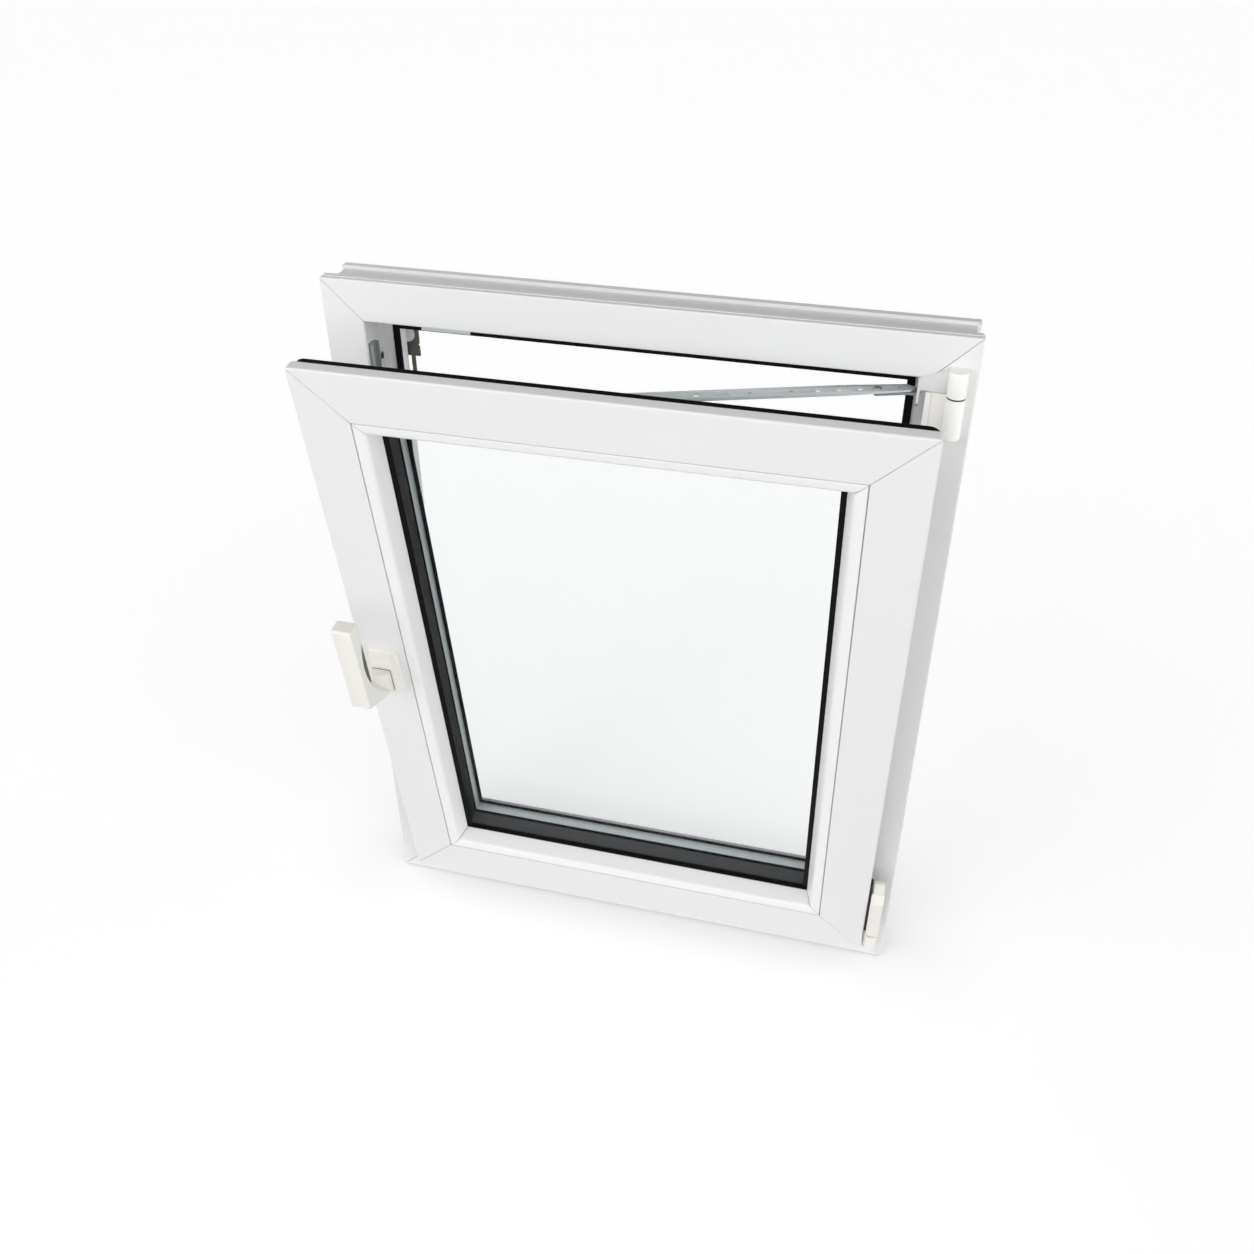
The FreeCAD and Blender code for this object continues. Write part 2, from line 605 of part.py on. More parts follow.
def rounded_rectangle(x, y, z, wide, high, radius):
    """Upright rounded rectangle as a wire, centred on x and z."""
    corner = Part.makeBox(wide, SPARE, high, Vector(x - wide / 2, y, z - high / 2))
    corner = corner.makeFillet(radius, [edge for edge in corner.Edges if edge.BoundBox.YLength > SPARE / 2])
    front = min(corner.Faces, key=lambda face: face.CenterOfMass.y)
    return front.OuterWire


def handle_pieces():
    """Rose on the sash, spindle and the lever, pointing up in its tilt position."""
    x = -X_SASH + HANDLE_V
    z = HANDLE_Z
    sizes = [(0, 0), (ROSE_BASE_T, ROSE_DRAFT), (ROSE_BASE_T, ROSE_DRAFT + ROSE_STEP),
             (ROSE_PROUD, 2 * ROSE_DRAFT + ROSE_STEP)]
    wires = [rounded_rectangle(x, Y_SASH - proud, z, ROSE_W - 2 * inset, ROSE_H - 2 * inset, ROSE_R - inset)
             for proud, inset in sizes]
    rose = Part.makeLoft(wires[:2], True, True).fuse(Part.makeLoft(wires[2:], True, True)).removeSplitter()
    inward = Vector(0, 1, 0)
    mouth = Vector(x, Y_SASH - ROSE_PROUD - SPARE, z)
    rose = rose.cut(Part.makeCylinder(BEARING_R + FIT / 2, BEARING_DEEP + SPARE, mouth, inward))
    rose = rose.cut(Part.makeCylinder(SPINDLE_HOLE / 2, ROSE_PROUD + 2 * SPARE, mouth, inward))
    write("handle_rose", tilted(rose))
    seat = Y_SASH - ROSE_PROUD - NECK_GAP
    y_front = Y_SASH - LEVER_PROUD
    y_grip = y_front + LEVER_T
    profile = [(seat, z - NECK_BELOW), (y_front, z + LEVER_HEEL, LEVER_R),
               (y_front, z + LEVER_TOP, LEVER_R),
               (y_grip, z + LEVER_TOP, LEVER_R), (y_grip, z + LEVER_ELBOW, LEVER_R), (seat, z + NECK_ABOVE)]
    lever = Part.Face(outline(profile)).extrude(Vector(LEVER_W, 0, 0))
    lever.translate(Vector(x - LEVER_W / 2, 0, 0))
    radius = (SCOOP_L ** 2 / 4 + SCOOP_DEEP ** 2) / (2 * SCOOP_DEEP)
    scoop_z = z + LEVER_TOP - SCOOP_FROM_TOP - SCOOP_L / 2
    for sign in (-1, 1):
        away = Vector(sign, 1, 0).normalize()
        ahead = Vector(sign, -1, 0).normalize()
        centre = Vector(x + sign * LEVER_W / 2, y_grip, scoop_z) + away * (radius - SCOOP_DEEP)
        scoop = Part.makeCylinder(radius, 2 * LEVER_W, centre - ahead * LEVER_W, ahead)
        lever = lever.cut(scoop)
    stub = Part.makeCylinder(BEARING_R, NECK_GAP + BEARING_DEEP - SPARE, Vector(x, seat, z), inward)
    spindle_l = NECK_GAP + ROSE_PROUD - SPINDLE_SHORT
    spindle = Part.makeCylinder(SPINDLE / 2, spindle_l, Vector(x, seat, z), inward)
    write("handle_lever", tilted(lever.multiFuse([stub, spindle]).removeSplitter()))
    axis_point = tilted(Part.Vertex(Vector(x, seat, z))).Point
    print("handle axis point", [round(value / 1000, 6) for value in axis_point])
    tilt = math.radians(TILT_DEG)
    print("handle axis", [0, round(math.cos(tilt), 6), round(math.sin(tilt), 6)])


def outside_pieces():
    """Caps over the drain slots and a small catch, on the outside of the frame."""
    for name, x in (("drain_cap_left", -FRAME_W * DRAIN_SHARE), ("drain_cap_right", FRAME_W * DRAIN_SHARE)):
        write(name, box(x - DRAIN_W / 2, Y_BACK, DRAIN_UP, DRAIN_W, DRAIN_T, DRAIN_H))
    edge = -FRAME_W / 2 + STOP_EDGE
    middle = FRAME_H - CATCH_FROM_TOP
    y_plate = Y_BACK + CATCH_DISC_T
    low = middle - CATCH_DOWN
    away = Vector(0, 1, 0)
    disc = Part.makeCylinder(CATCH_DISC_R, CATCH_DISC_T, Vector(edge, Y_BACK, middle), away)
    write("outer_catch_disc", disc)
    body = box(edge - CATCH_UNDER, y_plate, low, CATCH_UNDER + CATCH_REACH, CATCH_T, CATCH_DOWN + CATCH_UP)
    stem = box(edge + CATCH_STEM_W / 2, y_plate, low - CATCH_STEM_L, CATCH_STEM_W, CATCH_T, CATCH_STEM_L)
    notch_at = Vector(edge + CATCH_REACH, Y_BACK, middle - CATCH_DOWN / 2)
    notch = Part.makeCylinder(CATCH_NOTCH_R, 2 * CATCH_T, notch_at, away)
    write("outer_catch_plate", body.fuse(stem).removeSplitter().cut(notch))


frame_pieces()
sash_pieces()
groove_pieces()
stay_pieces()
hinge_pieces()
handle_pieces()
outside_pieces()
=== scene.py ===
# %% [markdown]
# # A tilt and turn window, dressed in Blender
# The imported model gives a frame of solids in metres: the fixed frame, the sash that leans into the
# room, the glass, the gaskets and the hardware. This lesson gives each of them its real surface.
# Every piece stays in the same coordinates as the solids, so nothing has to be fitted by eye.

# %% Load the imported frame
import math

import bmesh
import bpy
from mathutils import Matrix, Vector


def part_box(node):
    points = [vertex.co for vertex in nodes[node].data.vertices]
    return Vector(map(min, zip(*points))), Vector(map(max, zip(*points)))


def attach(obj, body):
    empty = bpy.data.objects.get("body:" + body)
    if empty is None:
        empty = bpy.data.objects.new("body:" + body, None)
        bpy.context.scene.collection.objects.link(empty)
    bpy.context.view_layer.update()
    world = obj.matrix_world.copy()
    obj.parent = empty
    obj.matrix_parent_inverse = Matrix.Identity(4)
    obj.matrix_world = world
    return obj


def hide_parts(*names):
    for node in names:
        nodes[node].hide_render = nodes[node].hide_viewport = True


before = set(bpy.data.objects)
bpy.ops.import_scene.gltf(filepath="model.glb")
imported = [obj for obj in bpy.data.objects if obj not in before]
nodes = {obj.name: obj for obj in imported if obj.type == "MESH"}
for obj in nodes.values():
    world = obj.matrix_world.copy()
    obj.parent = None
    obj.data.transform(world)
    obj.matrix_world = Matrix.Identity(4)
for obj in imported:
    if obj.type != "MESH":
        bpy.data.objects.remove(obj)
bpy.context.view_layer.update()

MM = 0.001

# %% [markdown]
# ## The camera
# The photograph looks down on the window from its right. The position and the angles come from the
# pixels of the corners of the frame and the sash, so they are numbers of the photograph, not of the
# window. The small shift keeps the window where the picture has it.

# %% Camera at the photograph's viewing angle
PHOTO_SIDE = 1254
FOCAL_PIXELS = 1170.87
CENTRE_PIXEL = (650.0, 550.0)
SENSOR = 36.0
camera_place = Vector((282.61, -1114.13, 1327.56)) * MM
camera_angles = [math.radians(v) for v in (57.67, -0.3576, 13.5984)]

camera_data = bpy.data.cameras.new("camera")
camera_data.sensor_width = SENSOR
camera_data.lens = FOCAL_PIXELS / PHOTO_SIDE * SENSOR
camera_data.shift_x = (PHOTO_SIDE / 2 - CENTRE_PIXEL[0]) / PHOTO_SIDE
camera_data.shift_y = (CENTRE_PIXEL[1] - PHOTO_SIDE / 2) / PHOTO_SIDE
camera = bpy.data.objects.new("camera", camera_data)
camera.location = camera_place
camera.rotation_euler = camera_angles
bpy.context.scene.collection.objects.link(camera)
bpy.context.scene.camera = camera
print("lens", round(camera_data.lens, 2),
      "shift", [round(v, 3) for v in (camera_data.shift_x, camera_data.shift_y)])

# %% [markdown]
# ## Node helpers
# A material is a graph. Two small helpers add a node and join two sockets, so that the graphs below
# read like recipes: which pattern is made, how it is scaled, and which socket it feeds.

# %% Helpers for shader and geometry graphs
def add(tree, kind, **settings):
    """New node of a kind; settings named like its sockets set them, the others set properties."""
    node = tree.nodes.new(kind)
    for key, value in settings.items():
        if hasattr(node, key):
            setattr(node, key, value)
        else:
            node.inputs[key.replace("_", " ")].default_value = value
    return node


def join(tree, start, out_name, end, in_name):
    """Join an output to an input; a whole number picks a socket by its place."""
    tree.links.new(start.outputs[out_name], end.inputs[in_name])


def new_group(name, kind, inputs, outputs):
    """Empty node group with named sockets, with its input and output nodes."""
    tree = bpy.data.node_groups.new(name, kind)
    for socket_name, socket_kind, value in inputs:
        socket = tree.interface.new_socket(socket_name, in_out="INPUT", socket_type=socket_kind)
        if value is not None:
            socket.default_value = value
    for socket_name, socket_kind in outputs:
        tree.interface.new_socket(socket_name, in_out="OUTPUT", socket_type=socket_kind)
    return tree, tree.nodes.new("NodeGroupInput"), tree.nodes.new("NodeGroupOutput")


# %% [markdown]
# ## Fine lines from drawing and rolling
# Extruded plastic keeps hair-fine lines along its length, and rolled steel has the same kind of
# lines, only stronger. An image could show them, but it would stretch on long bars. One group that
# stretches a noise along one axis serves both materials, at any length and in any direction.

# %% Drawn lines
FLOAT, COLOUR, VECTOR = "NodeSocketFloat", "NodeSocketColor", "NodeSocketVector"

drawn, source, target = new_group(
    "drawn_lines", "ShaderNodeTree",
    [("Direction", VECTOR, (1, 60, 60)), ("Scale", FLOAT, 20.0), ("Turn", VECTOR, (0, 0, 0))],
    [("Lines", FLOAT)])
place = add(drawn, "ShaderNodeTexCoord")
mapping = add(drawn, "ShaderNodeMapping")
noise = add(drawn, "ShaderNodeTexNoise", Detail=6.0, Roughness=0.6)
join(drawn, place, "Object", mapping, "Vector")
join(drawn, source, "Direction", mapping, "Scale")
join(drawn, source, "Turn", mapping, "Rotation")
join(drawn, mapping, "Vector", noise, "Vector")
join(drawn, source, "Scale", noise, "Scale")
drawn.links.new(noise.outputs[0], target.inputs["Lines"])

# %% [markdown]
# ## A slow change in tone
# Dust and handling leave a weak change in tone on every real surface, over some centimetres. Painted
# spots would be one way. This second group scales the colour by a soft noise instead, so that each
# finish says how strong and how wide its own change is.

# %% Soft change in tone
tone, source, target = new_group(
    "soft_tone", "ShaderNodeTree",
    [("Colour", COLOUR, (0.8, 0.8, 0.8, 1)), ("Amount", FLOAT, 0.03), ("Scale", FLOAT, 6.0)],
    [("Colour", COLOUR)])
NOISE_MIDDLE = 0.5
place = add(tone, "ShaderNodeTexCoord")
noise = add(tone, "ShaderNodeTexNoise", Detail=4.0, Roughness=0.55)
swing = add(tone, "ShaderNodeMath", operation="SUBTRACT")
swing.inputs[1].default_value = NOISE_MIDDLE
amount = add(tone, "ShaderNodeMath", operation="MULTIPLY")
level = add(tone, "ShaderNodeMath", operation="ADD")
level.inputs[1].default_value = 1.0
shade = add(tone, "ShaderNodeVectorMath", operation="SCALE")
join(tone, place, "Object", noise, "Vector")
join(tone, source, "Scale", noise, "Scale")
tone.links.new(noise.outputs[0], swing.inputs[0])
tone.links.new(swing.outputs[0], amount.inputs[0])
join(tone, source, "Amount", amount, 1)
tone.links.new(amount.outputs[0], level.inputs[0])
tone.links.new(source.outputs["Colour"], shade.inputs[0])
tone.links.new(level.outputs[0], shade.inputs["Scale"])
tone.links.new(shade.outputs[0], target.inputs["Colour"])
print("shared groups", [g.name for g in bpy.data.node_groups])

# %% [markdown]
# ## Finishes
# Each finish is a Principled shader. Plain numbers such as the metal share sit on the shader itself,
# and only what varies over the surface comes through nodes: the colour through the soft tone, the
# roughness and a very small bump through the drawn lines or a fine grain. Where a finish names no
# lines, the grain is an even noise, which suits moulded rubber, lacquer and covers.

# %% One recipe for the opaque finishes
GRAIN_TO_LINES = 60
BUMP_SIZE = 0.0004


def finish(name, colour, rough, metal=0.0, tone_amount=0.03, tone_scale=6.0, lines=None, turn=(0, 0, 0),
           line_scale=20.0, rough_swing=0.06, bump=0.02, coat=0.0, specular=0.5):
    """Opaque finish: toned colour, roughness that varies, and a fine bump."""
    material = bpy.data.materials.new(name)
    material.use_nodes = True
    tree = material.node_tree
    shader = tree.nodes["Principled BSDF"]
    shader.inputs["Metallic"].default_value = metal
    shader.inputs["Coat Weight"].default_value = coat
    shader.inputs["Specular IOR Level"].default_value = specular
    toned = add(tree, "ShaderNodeGroup", node_tree=tone)
    toned.inputs["Colour"].default_value = (*colour, 1)
    toned.inputs["Amount"].default_value = tone_amount
    toned.inputs["Scale"].default_value = tone_scale
    tree.links.new(toned.outputs["Colour"], shader.inputs["Base Color"])
    if lines:
        pattern = add(tree, "ShaderNodeGroup", node_tree=drawn)
        pattern.inputs["Direction"].default_value = lines
        pattern.inputs["Scale"].default_value = line_scale
        pattern.inputs["Turn"].default_value = turn
    else:
        place = add(tree, "ShaderNodeTexCoord")
        pattern = add(tree, "ShaderNodeTexNoise", Scale=line_scale * GRAIN_TO_LINES, Detail=3.0)
        join(tree, place, "Object", pattern, "Vector")
    range_node = add(tree, "ShaderNodeMapRange")
    range_node.inputs["To Min"].default_value = rough - rough_swing
    range_node.inputs["To Max"].default_value = rough + rough_swing
    tree.links.new(pattern.outputs[0], range_node.inputs["Value"])
    tree.links.new(range_node.outputs["Result"], shader.inputs["Roughness"])
    bump_node = add(tree, "ShaderNodeBump", Strength=bump, Distance=BUMP_SIZE)
    tree.links.new(pattern.outputs[0], bump_node.inputs["Height"])
    tree.links.new(bump_node.outputs["Normal"], shader.inputs["Normal"])
    return material


# %% [markdown]
# ## White plastic
# Frame, sash and beads are the same white plastic, with lines that run along each bar. The sash leans by
# almost nine degrees, so the lines of its upright bars turn with it. The beads are painted slightly paler,
# as painted light on their slopes. A small recipe keeps all of them alike in everything but colour and
# direction.

# %% White finishes along and across
TILT = math.radians(8.8)
# Painted light: the beads get a paler copy of the same white.
WHITE, BEAD_PAINTED_LIGHT_WHITE = (0.775, 0.778, 0.778), (0.83, 0.833, 0.833)
ALONG_X, ALONG_Z = (1, 60, 60), (60, 60, 1)
UPRIGHT, LEANING = (0, 0, 0), (-TILT, 0, 0)


def white_plastic(name, colour, lines, turn=UPRIGHT):
    """Satin white plastic with fine lines along the bar."""
    return finish(name, colour, rough=0.34, tone_amount=0.012, lines=lines, turn=turn, bump=0.05)


white_across = white_plastic("white_across", WHITE, ALONG_X)
white_upright = white_plastic("white_upright", WHITE, ALONG_Z)
sash_across = white_plastic("sash_across", WHITE, ALONG_X)
sash_upright = white_plastic("sash_upright", WHITE, ALONG_Z, LEANING)
bead_painted_light_across = white_plastic("bead_painted_light_across", BEAD_PAINTED_LIGHT_WHITE, ALONG_X)
bead_painted_light_upright = white_plastic("bead_painted_light_upright", BEAD_PAINTED_LIGHT_WHITE, ALONG_Z, LEANING)

# %% [markdown]
# ## Rubber, sealant, plastic and metal
# Black rubber and sealant hardly shine, so their specular level is low; the foot of the outer gasket
# is painted grey as a sheen, for the light that falls on it from above. The steel is zinc plated, which is
# duller than bare metal, so its metal share stays under a half. Handle and covers are warm white, the handle
# with a thin clear coat of lacquer.

# %% Finishes of gaskets, spacers, hardware and covers
BLACK_RUBBER, RUBBER_PAINTED_SHEEN, SEALANT = (0.004, 0.004, 0.0045), (0.2, 0.205, 0.21), (0.006, 0.006, 0.007)
ZINC, SHADED_ZINC = (0.66, 0.71, 0.72), (0.3, 0.315, 0.32)
CREAM = (0.83, 0.81, 0.765)

rubber = finish("black_rubber", BLACK_RUBBER, rough=0.6, tone_amount=0.3, tone_scale=40, bump=0.15,
                specular=0.1)
# Painted sheen: a grey copy of the black rubber for the foot of the outer gasket, where light falls on it
# from above.
rubber_painted_sheen = finish("rubber_painted_sheen", RUBBER_PAINTED_SHEEN, rough=0.6, tone_amount=0.2, tone_scale=40, bump=0.15,
                     specular=0.2)
sealant = finish("black_sealant", SEALANT, rough=0.55, tone_amount=0.3, tone_scale=60, bump=0.3, specular=0.1)
black_plastic = finish("black_plastic", (0.012, 0.012, 0.013), rough=0.45, tone_amount=0.2, bump=0.1)


def zinc_plated(name, colour, tone_amount, lines):
    """Dull zinc plated steel with rolling lines."""
    return finish(name, colour, rough=0.42, metal=0.35, tone_amount=tone_amount, tone_scale=30, lines=lines,
                  line_scale=30, rough_swing=0.1, bump=0.15)


steel = zinc_plated("zinc_steel", ZINC, 0.12, ALONG_X)
steel_upright = zinc_plated("zinc_steel_upright", ZINC, 0.12, ALONG_Z)
# Painted shade: a dark olive finish that stands for the shade in the scoop of the grip.
scoop_painted_shade = finish("scoop_painted_shade", (0.15, 0.155, 0.125), rough=0.5, tone_amount=0.1, bump=0.1,
                       specular=0.3)
# Painted shade: a darker copy of the zinc for steel that lies in the shade of the gap.
shaded_steel = zinc_plated("shaded_steel", SHADED_ZINC, 0.2, ALONG_Z)
screw_steel = finish("screw_steel", (0.5, 0.52, 0.53), rough=0.3, metal=0.9, tone_amount=0.1, tone_scale=200,
                     bump=0.1)
spacer_metal = finish("spacer_metal", (0.56, 0.61, 0.62), rough=0.45, metal=0.2, tone_amount=0.05,
                      tone_scale=30, lines=ALONG_X, bump=0.1)
dark_spacer = finish("dark_spacer", (0.045, 0.048, 0.051), rough=0.5, tone_amount=0.15, tone_scale=30,
                     lines=ALONG_X, bump=0.1, specular=0.3)
lacquer = finish("warm_lacquer", CREAM, rough=0.33, tone_amount=0.02, tone_scale=25, rough_swing=0.03,
                 bump=0.03, coat=0.15)
cover_plastic = finish("warm_plastic", (0.81, 0.785, 0.745), rough=0.38, tone_amount=0.02, tone_scale=25,
                       bump=0.04)
# Painted light: the knuckles of the top hinge get a brighter copy of the cover plastic, to stand in for light
# on them.
knuckle_painted_light = finish("knuckle_painted_light", (0.93, 0.915, 0.885), rough=0.38, tone_amount=0.02,
                         tone_scale=25, bump=0.04)
# Painted shade: a blacker copy of the dark spacer for its side runs, which lie in shade.
spacer_painted_shade = finish("spacer_painted_shade", (0.005, 0.005, 0.006), rough=0.5, tone_amount=0.3, tone_scale=30,
                      lines=ALONG_Z, bump=0.1, specular=0.1)
pale_leaf = finish("pale_leaf", (0.76, 0.765, 0.77), rough=0.4, metal=0.1, tone_amount=0.04, tone_scale=30,
                   lines=ALONG_Z, bump=0.05)
bronze = finish("brown_lacquer", (0.11, 0.092, 0.075), rough=0.4, metal=0.3, tone_amount=0.15, tone_scale=60,
                bump=0.1)
print("materials so far", len(bpy.data.materials))

# %% [markdown]
# ## Glass
# A renderer gives a solid pane a shadow of its own, because the light through it is bent. A real clear
# pane lets nearly all of it pass. So the shader is plain glass for everything that looks at it, and
# transparent for shadow rays alone. Its bend is weaker than that of real glass, which keeps the six
# surfaces of the three panes from greying the view. A faint smudge varies colour and roughness.

# %% Glass, which lets light pass to what it shades
GLASS_BEND = 1.1
GLASS_TINT = (0.992, 0.9965, 0.9975)
SMUDGE_ROUGH, SMUDGE_DARK = 0.012, 0.99


def glass_finish(name, colour):
    """Clear glass that casts only a faint shadow."""
    material = bpy.data.materials.new(name)
    material.use_nodes = True
    tree = material.node_tree
    shader = tree.nodes["Principled BSDF"]
    shader.inputs["Transmission Weight"].default_value = 1.0
    shader.inputs["IOR"].default_value = GLASS_BEND
    place = add(tree, "ShaderNodeTexCoord")
    noise = add(tree, "ShaderNodeTexNoise", Scale=3.0, Detail=2.0)
    join(tree, place, "Object", noise, "Vector")
    haze = add(tree, "ShaderNodeMapRange")
    haze.inputs["To Max"].default_value = SMUDGE_ROUGH
    smudge = add(tree, "ShaderNodeMapRange")
    smudge.inputs["To Min"].default_value = SMUDGE_DARK
    tree.links.new(noise.outputs[0], haze.inputs["Value"])
    tree.links.new(haze.outputs["Result"], shader.inputs["Roughness"])
    tree.links.new(noise.outputs[0], smudge.inputs["Value"])
    shade = add(tree, "ShaderNodeVectorMath", operation="SCALE")
    shade.inputs[0].default_value = colour
    tree.links.new(smudge.outputs["Result"], shade.inputs["Scale"])
    tree.links.new(shade.outputs[0], shader.inputs["Base Color"])
    clear = add(tree, "ShaderNodeBsdfTransparent", Color=(*colour, 1))
    mix = add(tree, "ShaderNodeMixShader")
    path = add(tree, "ShaderNodeLightPath")
    tree.links.new(path.outputs["Is Shadow Ray"], mix.inputs[0])
    tree.links.new(shader.outputs[0], mix.inputs[1])
    tree.links.new(clear.outputs[0], mix.inputs[2])
    tree.links.new(mix.outputs[0], tree.nodes["Material Output"].inputs["Surface"])
    return material


clear_glass = glass_finish("clear_glass", GLASS_TINT)
print("materials with glass", len(bpy.data.materials))

# %% [markdown]
# ## The floor
# A catalogue picture has no visible horizon: the floor runs into white. The floor here is pale and
# takes the window's shadow. For the camera, and through glass, a little of its own light is added, so
# that only the shaded part stays under white. Near the window this light fades with the openness of
# the floor, which gives the soft dark rim that a thing has where it stands.

# %% Floor that runs into white
FLOOR_DROP, FLOOR_SIZE = 0.0005, 40.0
FLOOR_GREY, FLOOR_LIFT = 0.76, 0.5
CONTACT_REACH, CONTACT_POWER = 0.18, 0.75

half_floor = FLOOR_SIZE / 2
floor_corners = [(a * half_floor, b * half_floor, -FLOOR_DROP)
                 for a, b in ((-1, -1), (1, -1), (1, 1), (-1, 1))]
floor_mesh = bpy.data.meshes.new("floor")
floor_mesh.from_pydata(floor_corners, [], [(0, 1, 2, 3)])
floor = bpy.data.objects.new("floor", floor_mesh)
bpy.context.scene.collection.objects.link(floor)


def seen_directly(tree):
    """One where the ray comes from the camera or through glass, else zero."""
    path = add(tree, "ShaderNodeLightPath")
    either = add(tree, "ShaderNodeMath", operation="MAXIMUM")
    tree.links.new(path.outputs["Is Camera Ray"], either.inputs[0])
    tree.links.new(path.outputs["Is Transmission Ray"], either.inputs[1])
    return either.outputs[0]


floor_paint = bpy.data.materials.new("floor_paint")
floor_paint.use_nodes = True
tree = floor_paint.node_tree
shader = tree.nodes["Principled BSDF"]
shader.inputs["Roughness"].default_value = 0.9
shader.inputs["Specular IOR Level"].default_value = 0.0
shader.inputs["Base Color"].default_value = (FLOOR_GREY, FLOOR_GREY, FLOOR_GREY, 1)
lift = add(tree, "ShaderNodeMath", operation="MULTIPLY")
lift.inputs[1].default_value = FLOOR_LIFT
nearness = add(tree, "ShaderNodeAmbientOcclusion", samples=6)
nearness.inputs["Distance"].default_value = CONTACT_REACH
contact = add(tree, "ShaderNodeMath", operation="POWER")
contact.inputs[1].default_value = CONTACT_POWER
join(tree, nearness, "AO", contact, 0)
shaded_lift = add(tree, "ShaderNodeMath", operation="MULTIPLY")
join(tree, contact, 0, shaded_lift, 0)
tree.links.new(seen_directly(tree), shaded_lift.inputs[1])
join(tree, shaded_lift, 0, lift, 0)
shader.inputs["Emission Color"].default_value = (1, 1, 1, 1)
tree.links.new(lift.outputs[0], shader.inputs["Emission Strength"])
floor_mesh.materials.append(floor_paint)
print("floor lift", FLOOR_LIFT)

# %% [markdown]
# ## Studio light from all round
# White plastic shows its form only when its sides get different amounts of light. Many lamps would
# do it. Here the world itself is the studio: an even base, and one soft lobe for each direction that
# adds light or takes it away. The camera still sees plain white. What surfaces mirror comes from the
# lobes too, which keeps the dark parts dark.

# %% World with soft lobes
SKY_BASE = 0.56
FRONT_UP, UP = (0, -0.71, 0.71), (0, 0, 1)
FRONT_LEFT, FRONT_RIGHT, LEFT, RIGHT = (-0.8, -0.6, 0), (0.8, -0.6, 0), (-1, 0, 0), (1, 0, 0)
SKY_LOBES = ((FRONT_UP, 0.39), (FRONT_LEFT, 1.05), (FRONT_RIGHT, 1.15), (LEFT, 1.6), (RIGHT, 1.6),
             (UP, -2.35))

world = bpy.data.worlds.new("studio")
bpy.context.scene.world = world
world.use_nodes = True
tree = world.node_tree
background = tree.nodes["Background"]
place = add(tree, "ShaderNodeTexCoord")
total = None
for axis, weight in SKY_LOBES:
    lobe = add(tree, "ShaderNodeVectorMath", operation="DOT_PRODUCT")
    lobe.inputs[1].default_value = axis
    join(tree, place, "Generated", lobe, 0)
    facing = add(tree, "ShaderNodeMath", operation="MAXIMUM")
    facing.inputs[1].default_value = 0.0
    join(tree, lobe, "Value", facing, 0)
    weighted = add(tree, "ShaderNodeMath", operation="MULTIPLY_ADD")
    weighted.inputs[1].default_value = weight
    join(tree, facing, 0, weighted, 0)
    if total is None:
        weighted.inputs[2].default_value = SKY_BASE
    else:
        join(tree, total, 0, weighted, 2)
    total = weighted
whole_sky = add(tree, "ShaderNodeMath", operation="MAXIMUM")
whole_sky.inputs[1].default_value = 0.0
join(tree, total, 0, whole_sky, 0)
strength = add(tree, "ShaderNodeMapRange")
strength.inputs["To Max"].default_value = 1.0
join(tree, whole_sky, 0, strength, "To Min")
tree.links.new(seen_directly(tree), strength.inputs["Value"])
tree.links.new(strength.outputs["Result"], background.inputs["Strength"])
background.inputs["Color"].default_value = (1, 1, 1, 1)
print("sky lobes", len(SKY_LOBES))


# %% [markdown]
# ## The key light
# One soft box high on the left gives the shadow on the floor its direction. A small lamp would draw
# hard edges that the photograph doesn't have, so it is a wide square that looks at the window.

# %% Soft box
def soft_box(name, place, aim, size, watts):
    """Square area lamp that looks at a point."""
    data = bpy.data.lights.new(name, "AREA")
    data.shape = "SQUARE"
    data.size = size
    data.energy = watts
    lamp = bpy.data.objects.new(name, data)
    lamp.location = place
    lamp.rotation_mode = "QUATERNION"
    lamp.rotation_quaternion = (Vector(aim) - Vector(place)).to_track_quat("-Z", "Y")
    bpy.context.scene.collection.objects.link(lamp)


KEY_PLACE, KEY_AIM, KEY_SIZE, KEY_WATTS = (-2.2, -4.2, 4.6), (0, 0, 0.45), 2.4, 25
soft_box("key_box", KEY_PLACE, KEY_AIM, KEY_SIZE, KEY_WATTS)
bpy.context.scene.view_settings.view_transform = "Standard"

# %% [markdown]
# ## From the solids to finished pieces
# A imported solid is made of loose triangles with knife-sharp edges. A copy of it is merged, its flat
# areas become single faces, and a narrow bevel rounds what is left. The bevel is what makes an edge
# catch the light, as a moulded or extruded edge does.

# %% Copy, merge and round
MERGE, FLAT, SHARP = 1e-6, math.radians(1), math.radians(30)


def link(name, mesh):
    """New object for a mesh, in the scene."""
    piece = bpy.data.objects.new(name, mesh)
    bpy.context.scene.collection.objects.link(piece)
    return piece


def smooth(mesh):
    """Smooth shading on every face."""
    mesh.polygons.foreach_set("use_smooth", [True] * len(mesh.polygons))
    mesh.update()


def bevel(piece, width, segments=2):
    """Round the sharp edges and keep the flat faces flat in their shading."""
    rounding = piece.modifiers.new("rounding", "BEVEL")
    rounding.width = width
    rounding.segments = segments
    rounding.limit_method = "ANGLE"
    rounding.angle_limit = SHARP
    rounding.harden_normals = True
    return piece


def merged_copy(node, name):
    """Mesh copy of a CAD node with merged points and whole flat faces."""
    mesh = nodes[node].data.copy()
    mesh.name = name
    mesh.materials.clear()
    shape = bmesh.new()
    shape.from_mesh(mesh)
    bmesh.ops.remove_doubles(shape, verts=shape.verts, dist=MERGE)
    bmesh.ops.dissolve_limit(shape, angle_limit=FLAT, verts=shape.verts, edges=shape.edges)
    shape.to_mesh(mesh)
    shape.free()
    smooth(mesh)
    return mesh


